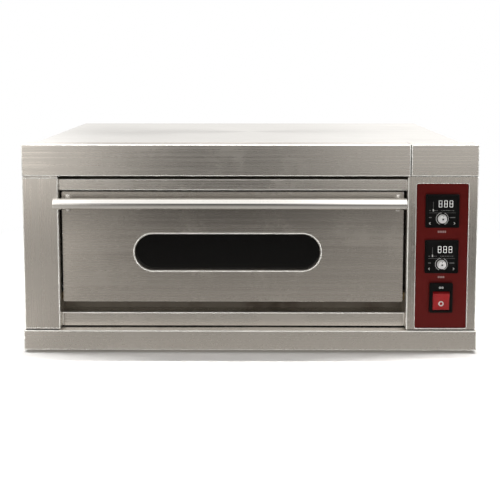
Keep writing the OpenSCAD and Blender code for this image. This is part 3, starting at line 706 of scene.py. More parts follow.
STAINLESS = BrushedSteel("brushed_stainless_across")
# The door's upper part darkens by painted shade, for the shadow under the canopy and the handle bar
STAINLESS_DOOR = BrushedSteel("brushed_stainless_door", base=(0.62, 0.585, 0.54), contrast=0.055,
                              roughness=0.26, painted_top_shade=(0.30, 0.42))
STAINLESS_UPRIGHT = BrushedSteel("brushed_stainless_upright", lay=Lay.UPRIGHT, contrast=0.04)
BODY_SHEET = BrushedSteel("body_sheet", base=(0.63, 0.63, 0.625), roughness=0.36, contrast=0.04, broad=60.0,
                          smudge=0.5)
SIDE_SHEET = BrushedSteel("side_sheet", base=(0.62, 0.61, 0.59), lay=Lay.UPRIGHT, roughness=0.38,
                          contrast=0.07, smudge=0.8)
# Painted highlight: a near-white, mostly matt finish for rounded front bends, the column's lip and the window
# ring, standing in for their bright edge reflections
EDGE_HIGHLIGHT = BareMetal("bright_edge", base=(0.93, 0.92, 0.88), tarnish=(0.8, 0.78, 0.73), roughness=0.4,
                        amount=0.2, metallic=0.25)
BRACKET_STEEL = BareMetal("bracket_steel", base=(0.62, 0.60, 0.57), roughness=0.3)
GALVANISED = Galvanised("galvanised_sheet")
CHAMBER_STEEL = BareMetal("chamber_steel", base=(0.42, 0.40, 0.37), tarnish=(0.20, 0.15, 0.10),
                          roughness=0.42, patches=7.0, amount=0.7)
# Chamber steel darkened overall by painted shade, for the shadowed strip under the door; its patches are
# tarnish
SHADE_DARKENED_STEEL = BareMetal("sooted_steel", base=(0.15, 0.135, 0.115), tarnish=(0.07, 0.05, 0.035),
                         roughness=0.45, patches=7.0, amount=0.7)
SCREW_STEEL = BareMetal("screw_steel", base=(0.74, 0.73, 0.71), roughness=0.24, amount=0.25)
POLISHED = BareMetal("polished_trim", base=(0.92, 0.91, 0.89), tarnish=(0.75, 0.73, 0.7), roughness=0.22,
                     amount=0.25, bump=0.000005)
CHROME = BareMetal("handle_chrome", base=(0.86, 0.85, 0.83), tarnish=(0.76, 0.75, 0.73), roughness=0.08,
                   amount=0.3, bump=0.000006)
SPRING_STEEL = BareMetal("spring_steel", base=(0.34, 0.33, 0.32), roughness=0.4)
# Brass darkened overall by painted shade, as the bushes sit in the shadowed gap at the door's lower corners;
# its patches are tarnish
SHADE_DARKENED_BRASS = BareMetal("bush_brass", base=(0.30, 0.22, 0.11), tarnish=(0.12, 0.09, 0.06), roughness=0.5,
                  amount=0.8)
DIAL_METAL = Coating("dial_silver", base=(0.78, 0.78, 0.77), worn=(0.6, 0.6, 0.58), roughness=0.3,
                     gloss=0.6, bump=0.000008)
# Near-black: the dials' inlay, and the painted shade in the screws' cross recesses
DIAL_DARK = Coating("dial_inlay", base=grey(0.03), roughness=0.4)
RUBBER = Coating("foot_rubber", base=grey(0.02), worn=(0.07, 0.07, 0.065), roughness=0.8, bump=0.0002)
FASCIA_RED = Coating("fascia_red", base=(0.105, 0.0065, 0.0052), worn=(0.12, 0.010, 0.009), roughness=0.4,
                     grain=1400.0, bump=0.00001, wear=0.3, spread=0.08)
CONTROL_BLACK = Coating("controller_black", base=grey(0.004), worn=grey(0.012), roughness=0.36,
                        grain=1500.0, bump=0.00002)
DISPLAY_GLASS = Coating("display_window", base=grey(0.003), worn=grey(0.006), roughness=0.1, bump=0.000002,
                        coat=0.6)
ROCKER_RED = Coating("rocker_red", base=(0.30, 0.010, 0.012), worn=(0.24, 0.014, 0.014), roughness=0.28,
                     bump=0.00001, coat=0.4)
PRINT_WHITE = Coating("white_print", base=(0.62, 0.62, 0.60), worn=(0.4, 0.4, 0.38), roughness=0.5)
PRINT_GREY = Coating("grey_print", base=(0.16, 0.16, 0.155), worn=grey(0.1), roughness=0.5)
PRINT_LABEL = Coating("label_print", base=(0.36, 0.24, 0.22), worn=(0.25, 0.15, 0.14), roughness=0.5)
DIGIT_GLOW = Glow("digit_glow", colour=(1.0, 1.0, 0.98), strength=0.6)
ELECTRICS_PLASTIC = Coating("electrics_plastic", base=(0.55, 0.54, 0.5), worn=(0.4, 0.39, 0.36),
                            roughness=0.5)
WIRE_SLEEVE = Fibre("wire_sleeve", base=grey(0.05), scale=300.0, braid=True, bump=0.0004)
GLAND_PLASTIC = Coating("gland_plastic", base=(0.03, 0.03, 0.032), worn=grey(0.07), roughness=0.5,
                        bump=0.00005)
SMOKED_GLASS = Glass("smoked_glass", tint=grey(0.003), roughness=0.03, through=0.6, gloss=0.2)
CLEAR_GLASS = Glass("clear_glass", tint=(0.95, 0.97, 0.96), roughness=0.04)
BULB_GLASS = Glass("bulb_glass", tint=(0.98, 0.96, 0.9), roughness=0.25, through=0.7)
MINERAL_WOOL = Fibre("mineral_wool")
# Near-black strips set in the front's joints as painted shadow for the gaps
SHADOW_STRIP_BLACK = Coating("joint_sealant", base=grey(0.004), worn=grey(0.01), roughness=0.7, gloss=0.05)
SEAL_ROPE = Fibre("seal_rope", base=(0.12, 0.11, 0.10), scale=130.0, braid=True, bump=0.0008)
BAKING_STONE = FiredStone("baking_stone")
ELEMENT_SHEATH = BareMetal("element_sheath", base=(0.16, 0.15, 0.14), tarnish=(0.10, 0.06, 0.04),
                           roughness=0.6, patches=30.0, amount=0.8, bump=0.00006)


# ---- Mesh helpers ----


@dataclass(frozen=True)
class Stand:
    """How a finished piece joins the scene: its name, body, finish, slot and the CAD nodes it stands for."""

    name: str
    body: str
    finish: Finish
    slot: str
    nodes: tuple[str, ...] = ()
    crease: float = 32.0
    highlight_finish: Finish | None = None


def put(bm: bmesh.types.BMesh, stand: Stand) -> bpy.types.Object:
    """Turns a bmesh into a finished piece.

    Args:
        bm: The shape, in its place. It is freed.
        stand: How the piece joins the scene.

    Returns:
        The piece.
    """
    mesh = bpy.data.meshes.new(stand.name)
    bm.to_mesh(mesh)
    bm.free()
    mesh.shade_smooth()
    mesh.set_sharp_from_angle(angle=math.radians(stand.crease))
    mesh.materials.append(stand.finish.material())
    if stand.highlight_finish:
        mesh.materials.append(stand.highlight_finish.material())
    piece = bpy.data.objects.new(stand.name, mesh)
    bpy.context.scene.collection.objects.link(piece)
    normals = piece.modifiers.new("even_normals", "WEIGHTED_NORMAL")
    normals.keep_sharp = True
    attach(piece, stand.body)
    if stand.nodes:
        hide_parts(*stand.nodes)
    LOG.info("%s: %d faces, %s", stand.name, len(mesh.polygons), stand.finish.name)
    return piece


def join(bm: bmesh.types.BMesh, other: bmesh.types.BMesh, place: Matrix | None = None) -> None:
    """Adds one bmesh to another.

    Args:
        bm: The bmesh that grows.
        other: The bmesh that is added, and freed.
        place: Where the added shape goes, if it isn't in its place yet.
    """
    if place is not None:
        other.transform(place)
    mesh = bpy.data.meshes.new("joining")
    other.to_mesh(mesh)
    other.free()
    bm.from_mesh(mesh)
    bpy.data.meshes.remove(mesh)


def round_edges(bm: bmesh.types.BMesh, edges: Iterable[bmesh.types.BMEdge], radius: float, segments: int = 3,
                material: int = -1, clamp: bool = True) -> None:
    """Rounds some edges.

    Args:
        bm: The shape.
        edges: The edges.
        radius: Radius of the rounding.
        segments: Faces across the rounding.
        material: Place of the rounding's material on the piece, or -1 for its neighbours' own.
        clamp: Whether the shortest face near any of the edges holds the radius down.
    """
    chosen = list(edges)
    if chosen:
        bmesh.ops.bevel(bm, geom=chosen, offset=radius, segments=segments, profile=0.5, affect="EDGES",
                        clamp_overlap=clamp, material=material)


def face_width(face: bmesh.types.BMFace) -> float:
    """About how wide a face is across its longest edge."""
    return face.calc_area() / max(edge.calc_length() for edge in face.edges)


def bend_edges(bm: bmesh.types.BMesh, width: float = 2.2 * MM,
               least: float = 40.0) -> list[bmesh.types.BMEdge]:
    """The outer edges where two wide faces meet, and not the rims of thin sheet.

    Args:
        bm: The shape.
        width: Least width of both faces.
        least: Least angle between them, in degrees.

    Returns:
        The edges.
    """
    angle = math.radians(least)
    return [
        edge
        for edge in bm.edges
        if len(edge.link_faces) == 2
        and edge.is_convex
        and edge.calc_face_angle(0) > angle
        and all(face_width(face) > width for face in edge.link_faces)
    ]


def cad_copy(node: str) -> bmesh.types.BMesh:
    """A copy of a CAD node's mesh, with its triangles joined up into flat faces.

    Args:
        node: The CAD node.

    Returns:
        The copy.
    """
    bm = bmesh.new()
    bm.from_mesh(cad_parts[node].data)
    bmesh.ops.remove_doubles(bm, verts=bm.verts[:], dist=WELD)
    bmesh.ops.dissolve_limit(bm, angle_limit=math.radians(0.4), verts=bm.verts[:], edges=bm.edges[:],
                             use_dissolve_boundaries=False, delimit={"NORMAL"})
    return bm


def loose_boxes(node: str) -> list[tuple[Vector, Vector]]:
    """The boxes of a CAD node's separate solids.

    Args:
        node: The CAD node.

    Returns:
        Lowest and highest corner of each solid.
    """
    bm = cad_copy(node)
    left = set(bm.verts)
    boxes = []
    while left:
        edge_of_patch = [left.pop()]
        patch = list(edge_of_patch)
        while edge_of_patch:
            vert = edge_of_patch.pop()
            for edge in vert.link_edges:
                other = edge.other_vert(vert)
                if other in left:
                    left.remove(other)
                    patch.append(other)
                    edge_of_patch.append(other)
        boxes.append(tuple(Vector(pick(v.co[i] for v in patch) for i in range(3)) for pick in (min, max)))
    bm.free()
    return boxes


def middle(box: tuple[Vector, Vector]) -> Vector:
    """The middle of a box."""
    return (box[0] + box[1]) / 2


def arc(along: float, radius: float, size: float, start: float, end: float,
        steps: int = 4) -> list[tuple[float, float]]:
    """Points of a round corner in a turned profile.

    Args:
        along: Place of the corner's centre along the axis.
        radius: Its distance from the axis.
        size: The corner's radius.
        start: First angle in degrees: 0 points along the axis, 90 away from it.
        end: Last angle.
        steps: Number of stretches.

    Returns:
        Pairs of a place along the axis and a distance from it.
    """
    angles = [math.radians(start + (end - start) * i / steps) for i in range(steps + 1)]
    return [(along + size * math.cos(a), radius + size * math.sin(a)) for a in angles]


def lathe(profile: Sequence[tuple[float, float]], steps: int = 48, closed: bool = False) -> bmesh.types.BMesh:
    """Turns a profile round the Z axis.

    Args:
        profile: Pairs of a place along the axis and a distance from it.
        steps: Faces round the axis.
        closed: Whether the profile is a ring of its own, as a tube's wall is.

    Returns:
        The turned shape.
    """
    bm = bmesh.new()
    verts = [bm.verts.new((radius, 0, along)) for along, radius in profile]
    pairs = list(zip(verts, verts[1:])) + ([(verts[-1], verts[0])] if closed else [])
    edges = [bm.edges.new(pair) for pair in pairs]
    bmesh.ops.spin(bm, geom=verts + edges, cent=(0, 0, 0), axis=(0, 0, 1), angle=math.tau, steps=steps,
                   use_merge=True)
    bmesh.ops.remove_doubles(bm, verts=bm.verts[:], dist=WELD / 10)
    bmesh.ops.recalc_face_normals(bm, faces=bm.faces[:])
    return bm


def aim(origin: Vector, direction: Sequence[float]) -> Matrix:
    """The place of a turned shape whose axis starts at a point and runs in a direction."""
    return Matrix.Translation(origin) @ Vector(direction).to_track_quat("Z", "Y").to_matrix().to_4x4()


def put_turned(profile: Sequence[tuple[float, float]], steps: int, start: Vector, direction: Sequence[float],
               stand: Stand, closed: bool = False) -> None:
    """Turns a profile and places it as a finished piece.

    Args:
        profile: Pairs of a place along the axis and a distance from it.
        steps: Faces round the axis.
        start: Where the axis starts.
        direction: Which way it runs.
        stand: How the piece joins the scene.
        closed: Whether the profile is a ring of its own.
    """
    bm = lathe(profile, steps, closed)
    bm.transform(aim(start, direction))
    put(bm, stand)


def plate(width: float, height: float, thick: float, corner: float = 0.0, edge: float = 0.0,
          steps: int = 4) -> bmesh.types.BMesh:
    """A flat plate, drawn flat about the origin, with its back at Z 0.

    Args:
        width: Size in X.
        height: Size in Y.
        thick: Thickness.
        corner: Radius of its corners.
        edge: Radius of its front edges.
        steps: Faces across a corner.

    Returns:
        The plate.
    """
    bm = bmesh.new()
    bmesh.ops.create_grid(bm, x_segments=1, y_segments=1, size=0.5,
                          matrix=Matrix.Diagonal((width, height, 1, 1)))
    if corner:
        bmesh.ops.bevel(bm, geom=bm.verts[:], offset=corner, segments=steps, profile=0.5, affect="VERTICES",
                        clamp_overlap=True, material=-1)
    thicken(bm, thick)
    if edge:
        round_edges(bm, front_loop(bm, thick), edge, 3)
    return bm


@dataclass(frozen=True)
class Outline:
    """A rectangle with round corners at one height, as one step of a stack."""

    width: float
    height: float
    corner: float
    level: float

    def draw(self, steps: int) -> bmesh.types.BMesh:
        """Draws the outline as one flat face.

        Args:
            steps: Edges round each corner.

        Returns:
            The face, at its height.
        """
        bm = bmesh.new()
        bmesh.ops.create_grid(bm, x_segments=1, y_segments=1, size=0.5,
                              matrix=Matrix.Diagonal((self.width, self.height, 1, 1)))
        bmesh.ops.bevel(bm, geom=bm.verts[:], offset=self.corner, segments=steps, profile=0.5,
                        affect="VERTICES", clamp_overlap=False, material=-1)
        bmesh.ops.translate(bm, verts=bm.verts[:], vec=(0, 0, self.level))
        return bm


def stack(outlines: Sequence[Outline], steps: int = 4) -> bmesh.types.BMesh:
    """A solid whose skin runs through a row of outlines, closed at both ends.

    Args:
        outlines: The outlines, from the first end to the last.
        steps: Edges round each corner.

    Returns:
        The solid.
    """
    bm = outlines[0].draw(steps)
    cap = start = bm.faces[:][0]
    for outline in outlines[1:]:
        drawn = outline.draw(steps)
        grown = bmesh.ops.extrude_face_region(bm, geom=[cap])
        if cap is not start:
            bmesh.ops.delete(bm, geom=[cap], context="FACES_ONLY")
        cap = next(item for item in grown["geom"] if isinstance(item, bmesh.types.BMFace))
        for vert, goal in zip(sorted(cap.verts, key=bearing), sorted(drawn.verts, key=bearing)):
            vert.co = goal.co
        drawn.free()
    bmesh.ops.recalc_face_normals(bm, faces=bm.faces[:])
    return bm


def bearing(vert: bmesh.types.BMVert) -> float:
    """The angle of a vertex round the Z axis."""
    return math.atan2(vert.co.y, vert.co.x)


def thicken(bm: bmesh.types.BMesh, thick: float) -> None:
    """Carries a flat outline forward to make a closed plate.

    Args:
        bm: The outline.
        thick: Thickness of the plate.
    """
    grown = bmesh.ops.extrude_face_region(bm, geom=bm.faces[:])
    moved = [item for item in grown["geom"] if isinstance(item, bmesh.types.BMVert)]
    bmesh.ops.translate(bm, verts=moved, vec=(0, 0, thick))
    bmesh.ops.recalc_face_normals(bm, faces=bm.faces[:])


def front_loop(bm: bmesh.types.BMesh, level: float) -> list[bmesh.types.BMEdge]:
    """The edges round the faces that lie at one height.

    Args:
        bm: The shape.
        level: The height.

    Returns:
        The edges.
    """
    return [
        edge
        for edge in bm.edges
        if all(abs(v.co.z - level) < WELD for v in edge.verts) and edge.calc_face_angle(0) > 0.5
    ]


def stadium(length: float, height: float, thick: float, hole: float = 0.0,
            edge: float = 0.0) -> bmesh.types.BMesh:
    """A plate with half-round ends, or a ring of that outline.

    Args:
        length: Overall length.
        height: Overall height.
        thick: Thickness.
        hole: Width of the ring, or 0 for a whole plate.
        edge: Radius of its front edges.

    Returns:
        The plate, drawn flat about the origin.
    """
    bm = bmesh.new()
    steps = 98
    bmesh.ops.create_circle(bm, cap_ends=True, radius=height / 2, segments=steps,
                            matrix=Matrix.Rotation(math.pi / steps, 4, "Z"))
    run = (length - height) / 2
    for vert in bm.verts:
        vert.co.x += math.copysign(run, vert.co.x)
    if hole:
        inner = bm.faces[:]
        bmesh.ops.inset_region(bm, faces=inner, thickness=hole, use_even_offset=True, use_boundary=True)
        bmesh.ops.delete(bm, geom=inner, context="FACES")
    thicken(bm, thick)
    if edge:
        round_edges(bm, front_loop(bm, thick), edge, 3)
    return bm


def ring_arc(inner: float, outer: float, start: float, end: float, steps: int = 24) -> bmesh.types.BMesh:
    """A flat stretch of a ring, as print has it.

    Args:
        inner: Inner radius.
        outer: Outer radius.
        start: First angle in degrees.
        end: Last angle.
        steps: Faces along it.

    Returns:
        The stretch, drawn flat about the origin.
    """
    bm = bmesh.new()
    angle = math.radians(start)
    verts = [bm.verts.new((r * math.cos(angle), r * math.sin(angle), 0)) for r in (inner, outer)]
    edge = bm.edges.new(verts)
    bmesh.ops.spin(bm, geom=verts + [edge], cent=(0, 0, 0), axis=(0, 0, 1), angle=math.radians(end - start),
                   steps=steps, use_merge=end - start >= 360)
    thicken(bm, PRINT_THICK)
    return bm


def round_dial(angle: float, out: float) -> Matrix:
    """The place of a mark at an angle round a dial and a distance out from its middle."""
    return Matrix.Rotation(math.radians(angle), 4, "Z") @ Matrix.Translation((0, out, 0))


def on_front(x: float, y: float, z: float) -> Matrix:
    """The place of a shape drawn flat that faces the front at a point."""
    return Matrix.Translation((x, y, z)) @ FACE_FRONT


# ---- Cabinet ----


@dataclass(frozen=True)
class SheetPart:
    """One folded sheet: its CAD node, finish, slot and bend radius."""

    node: str
    finish: Finish
    slot: str
    bend: float = 2.5 * MM
    body: str = "cabinet"
    width: float = 2.2 * MM
    highlight_finish: Finish | None = None

    def build(self) -> bpy.types.Object:
        """Rounds the sheet's bends and places it.

        Returns:
            The piece.
        """
        bm = cad_copy(self.node)
        # The front bends get the painted highlight finish
        if self.highlight_finish:
            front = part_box(self.node)[0].y + WELD
            edges = [edge for edge in bend_edges(bm, self.width) if max(v.co.y for v in edge.verts) < front]
            round_edges(bm, edges, FRONT_BEND, 4, 1, clamp=False)
        round_edges(bm, bend_edges(bm, self.width), self.bend, 4)
        return put(bm, Stand(self.node + "_sheet", self.body, self.finish, self.slot, (self.node,),
                             highlight_finish=self.highlight_finish))


@dataclass
class Cabinet:
    """The sheet-metal frame and body, with its feet and screws."""

    frame_sheets: tuple[tuple[str, Finish], ...] = (
        ("plinth", STAINLESS),
        ("left_column", STAINLESS_UPRIGHT),
        ("canopy", STAINLESS),
        ("canopy_cap", STAINLESS),
        ("header_rail", STAINLESS),
        ("sill_rail", STAINLESS),
    )
    body_sheets: tuple[SheetPart, ...] = (
        SheetPart("left_side_panel", SIDE_SHEET, "body_stainless"),
        SheetPart("right_side_panel", SIDE_SHEET, "body_stainless", 1.8 * MM),
        SheetPart("back_panel", GALVANISED, "galvanised"),
        SheetPart("top_panel", BODY_SHEET, "body_stainless"),
        SheetPart("base_pan", GALVANISED, "galvanised"),
    )
    lip_radius: float = 2.6 * MM
    foot_grooves: int = 3
    groove_half: float = 0.5 * MM
    groove_deep: float = 1.2 * MM
    foot_bolt: float = 5 * MM
    screw_radius: float = 4.0 * MM
    screw_rise: float = 2.0 * MM

    def build(self) -> None:
        """Builds every piece of the cabinet."""
        for node, finish in self.frame_sheets:
            SheetPart(node, finish, "brushed_stainless", highlight_finish=EDGE_HIGHLIGHT).build()
        for sheet in self.body_sheets:
            sheet.build()
        self.build_control_column()
        self.build_shadow_strips()
        self.build_feet()
        self.build_screws()

    def build_control_column(self) -> None:
        """The right column; the rolled lip round its opening and its long front bends carry a painted
        highlight.
        """
        bm = cad_copy("right_column")
        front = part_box("right_column")[0].y
        low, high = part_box("control_fascia")
        grow = 1 * MM
        lip = [
            edge
            for edge in bm.edges
            if all(abs(v.co.y - front) < WELD for v in edge.verts)
            and all(low.x - grow < v.co.x < high.x + grow and low.z - grow < v.co.z < high.z + grow
                    for v in edge.verts)
            and edge.calc_face_angle(0) > 0.5
        ]
        round_edges(bm, lip, self.lip_radius, 3, 1)
        outer = [edge for edge in bend_edges(bm) if edge.calc_length() > 300 * MM
                 and not all(low.x - grow < v.co.x < high.x + grow for v in edge.verts)]
        round_edges(bm, outer, FRONT_BEND, 4, 1)
        put(bm, Stand("right_column_sheet", "cabinet", STAINLESS_UPRIGHT, "brushed_stainless",
                      ("right_column",), highlight_finish=EDGE_HIGHLIGHT))

    def build_shadow_strips(self) -> None:
        """Dark strips of painted shadow in the gaps between the front's sheets."""
        bm = bmesh.new()
        names = ("plinth", "canopy", "canopy_cap", "left_column", "right_column", "sill_rail")
        low = {name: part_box(name)[0] for name in names}
        high = {name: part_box(name)[1] for name in names}
        base, head, inset = high["plinth"].z, low["canopy"].z, 1.2 * MM
        front = low["left_column"].y
        for column in ("left_column", "right_column"):
            left, right = low[column].x + inset, high[column].x - inset
            if column == "left_column":
                right = low["sill_rail"].x - 5 * MM
            else:
                left = high["sill_rail"].x + 5 * MM
            self.seal(bm, (left, right), (high[column].z - inset, head + inset), front + inset)
            self.seal(bm, (left, right), (base - 0.4 * MM, low[column].z + inset), front + inset)
        seam = (high["canopy"].x - 0.3 * MM, low["canopy_cap"].x + 0.3 * MM)
        self.seal(bm, seam, (head + inset, high["canopy"].z - inset), low["canopy"].y + inset)
        sill = low["sill_rail"].y - 0.4 * MM
        self.seal(bm, (low["sill_rail"].x, high["sill_rail"].x), (base, base + 3.4 * MM), sill)
        put(bm, Stand("joint_sealant", "cabinet", SHADOW_STRIP_BLACK, "seal_rope"))

    def seal(self, bm: bmesh.types.BMesh, across: tuple[float, float], up: tuple[float, float],
             front: float) -> None:
        """Adds one dark strip of painted shadow.

        Args:
            bm: The shape that it joins.
            across: Its two ends in X.
            up: Its two ends in Z.
            front: Where its face is in Y.
        """
        thick = 2 * MM
        strip = plate(across[1] - across[0], up[1] - up[0], thick, 0.0, 0.3 * MM)
        join(bm, strip, on_front(sum(across) / 2, front + thick, sum(up) / 2))

    def build_feet(self) -> None:
        """Turned rubber feet with grooves, each as tall as the gap below the base pan, on its bolt."""
        bm = bmesh.new()
        for low, high in loose_boxes("feet"):
            radius = (high.x - low.x) / 2
            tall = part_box("base_pan")[0].z
            profile = [(0, 0)] + arc(1 * MM, radius - 1 * MM, 1 * MM, 180, 90)
            for index in range(self.foot_grooves):
                level = tall * (index + 1) / (self.foot_grooves + 1)
                profile += [(level - self.groove_half, radius), (level, radius - self.groove_deep),
                            (level + self.groove_half, radius)]
            profile += [(tall, radius), (tall, self.foot_bolt), (high.z - 1 * MM, self.foot_bolt),
                        (high.z, self.foot_bolt - 1 * MM), (high.z, 0)]
            centre = middle((low, high))
            join(bm, lathe(profile, 40), aim(Vector((centre.x, centre.y, 0)), UPWARD))
        put(bm, Stand("feet_turned", "cabinet", RUBBER, "foot_rubber", ("feet",)))

    def build_screws(self) -> None:
        """Domed screws, where the CAD has them, each with a flat dark cross of painted shade in place of its
        cross recess.
        """
        bm = bmesh.new()
        recess = bmesh.new()
        for box in loose_boxes("panel_screws"):
            size = box[1] - box[0]
            axis = max(range(3), key=lambda i: size[i])
            out = Vector((0, 0, 0))
            out[axis] = 1.0 if middle(box)[axis] > 0 else -1.0
            tip = middle(box) + out * size[axis] / 2
            seat = tip - out * self.screw_rise
            join(bm, self.screw(size[axis] - self.screw_rise), aim(seat, out))
            # Painted shade: a thin near-black cross on the dome stands in for the shadow inside the cross
            # recess
            for turn in (0, 90):
                bar = plate(4.2 * MM, 0.9 * MM, 0.1 * MM)
                bar.transform(Matrix.Rotation(math.radians(turn), 4, "Z"))
                join(recess, bar, aim(tip - out * 0.06 * MM, out))
        put(bm, Stand("panel_screws_domed", "cabinet", SCREW_STEEL, "screw_steel", ("panel_screws",)))
        put(recess, Stand("panel_screw_recesses", "cabinet", DIAL_DARK, "screw_steel"))

    def screw(self, shank: float) -> bmesh.types.BMesh:
        """A screw whose head stands on Z 0.

        Args:
            shank: Length of the shank below the head.

        Returns:
            The screw.
        """
        rise, radius = self.screw_rise, self.screw_radius
        profile = [(-shank, 0), (-shank, 1.2 * MM), (-shank + 1 * MM, 2 * MM), (0, 2 * MM), (0, radius),
                   (0.5 * MM, radius), (1.3 * MM, radius * 0.86), (rise, radius * 0.55), (rise, 0)]
        return lathe(profile, 20)


# ---- Door ----


@dataclass
class Door:
    """The drop-down door: folded skin, window, handle and hinge parts."""

    corner: float = 2.8 * MM
    face_edge: float = 2.7 * MM
    trim_width: float = 3.6 * MM
    trim_edge: float = 1.35 * MM
    bar_seam: float = 6.0 * MM
    bar_edge: float = 1.6 * MM
    screw_rise: float = 3.0 * MM

    def build(self) -> None:
        """Builds every piece of the door."""
        self.build_skin()
        self.build_window()
        self.build_bar()
        self.build_brackets()
        self.build_screws()
        self.build_hinge()

    def build_skin(self) -> None:
        """The folded outer skin, with round corners and face edges in a painted highlight, and the inner
        panel.
        """
        bm = cad_copy("door_outer_panel")
        corners = [edge for edge in bend_edges(bm) if abs((edge.verts[0].co - edge.verts[1].co).y) > 40 * MM]
        round_edges(bm, corners, self.corner, 4, 1)
        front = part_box("door_outer_panel")[0].y
        rim = [
            edge
            for edge in bm.edges
            if all(abs(v.co.y - front) < WELD for v in edge.verts)
            and edge.calc_face_angle(0) > 1.0
            and self.on_rim(middle((edge.verts[0].co, edge.verts[1].co)))
        ]
        round_edges(bm, rim, self.face_edge, 4, 1)
        put(bm, Stand("door_skin", "door", STAINLESS_DOOR, "brushed_stainless", ("door_outer_panel",),
                      highlight_finish=EDGE_HIGHLIGHT))
        SheetPart("door_inner_panel", CHAMBER_STEEL, "chamber_steel", 0.8 * MM, "door", 1.5 * MM).build()

    def on_rim(self, point: Vector) -> bool:
        """Whether a point is at the outer edge of the door's face.

        Args:
            point: The point.

        Returns:
            True if it is.
        """
        low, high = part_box("door_outer_panel")
        near = self.corner * 1.2
        return (point.x - low.x < near or high.x - point.x < near or point.z - low.z < near
                or high.z - point.z < near)

    def build_window(self) -> None:
        """The rounded ring, made bright by a painted highlight finish, and the two dark panes with ground
        edges.
        """
        low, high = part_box("window_trim")
        centre = middle((low, high))
        length, height = high.x - low.x, high.z - low.z
        ring = stadium(length, height, high.y - low.y, self.trim_width, self.trim_edge)
        ring.transform(on_front(centre.x, high.y, centre.z))
        put(ring, Stand("window_ring", "door", EDGE_HIGHLIGHT, "polished_trim", ("window_trim",), 40))
        bm = bmesh.new()
        for low, high in loose_boxes("window_panes"):
            pane = stadium(high.x - low.x, high.z - low.z, high.y - low.y, 0.0, 0.4 * MM)
            join(bm, pane, on_front(centre.x, high.y, centre.z))
        put(bm, Stand("window_glass", "door", SMOKED_GLASS, "smoked_glass", ("window_panes",)))

    def build_bar(self) -> None:
        """The handle bar: a bright tube with a plug in each end."""
        low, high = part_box("handle_bar")
        centre = middle((low, high))
        length, radius, edge = high.x - low.x, (high.z - low.z) / 2, self.bar_edge
        seam = [(-0.25 * MM, radius), (0, radius - 0.5 * MM), (0.25 * MM, radius)]
        profile = [(0, 0), (0, radius * 0.6)] + arc(edge, radius - edge, edge, 180, 90)
        profile += [(self.bar_seam + along, out) for along, out in seam]
        profile += [(length - self.bar_seam + along, out) for along, out in seam]
        profile += arc(length - edge, radius - edge, edge, 90, 0) + [(length, radius * 0.6), (length, 0)]
        put_turned(profile, 72, Vector((low.x, centre.y, centre.z)), RIGHTWARD,
                   Stand("handle_tube", "door", CHROME, "handle_chrome", ("handle_bar",)))

    def build_brackets(self) -> None:
        """The two brackets, with soft edges."""
        bm = cad_copy("handle_brackets")
        round_edges(bm, bend_edges(bm, 2.0 * MM, 60), 0.9 * MM, 3)
        put(bm, Stand("handle_bracket_pair", "door", BRACKET_STEEL, "body_stainless", ("handle_brackets",)))

    def build_screws(self) -> None:
        """Domed screws that hold the brackets."""
        bm = bmesh.new()
        for low, high in loose_boxes("handle_screws"):
            centre = middle((low, high))
            radius, rise = (high.x - low.x) / 2, self.screw_rise
            shank = high.y - low.y - rise
            profile = [(-shank, 0), (-shank, 2.2 * MM), (-shank + 1 * MM, 3 * MM), (0, 3 * MM), (0, radius),
                       (1 * MM, radius)] + arc(1 * MM, radius - 2 * MM, 2 * MM, 90, 0) + [(rise, 1.6 * MM),
                       (rise - 1.2 * MM, 1.6 * MM), (rise - 1.2 * MM, 0)]
            join(bm, lathe(profile, 28), aim(Vector((centre.x, low.y + rise, centre.z)), FORWARD))
        put(bm, Stand("handle_screws_domed", "door", POLISHED, "screw_steel", ("handle_screws",)))

    def build_hinge(self) -> None:
        """The hinge's levers, plates and bushes, with soft edges."""
        for node, body, finish, slot in (
            ("hinge_levers", "door", GALVANISED, "galvanised"),
            ("hinge_plates", "cabinet", GALVANISED, "galvanised"),
            # The bushes' brass is darkened by painted shade
            ("hinge_bushes", "cabinet", SHADE_DARKENED_BRASS, "bush_brass"),
            ("hinge_pins", "door", SCREW_STEEL, "screw_steel"),
        ):
            SheetPart(node, finish, slot, 0.7 * MM, body, 2.0 * MM).build()


# ---- Controls ----


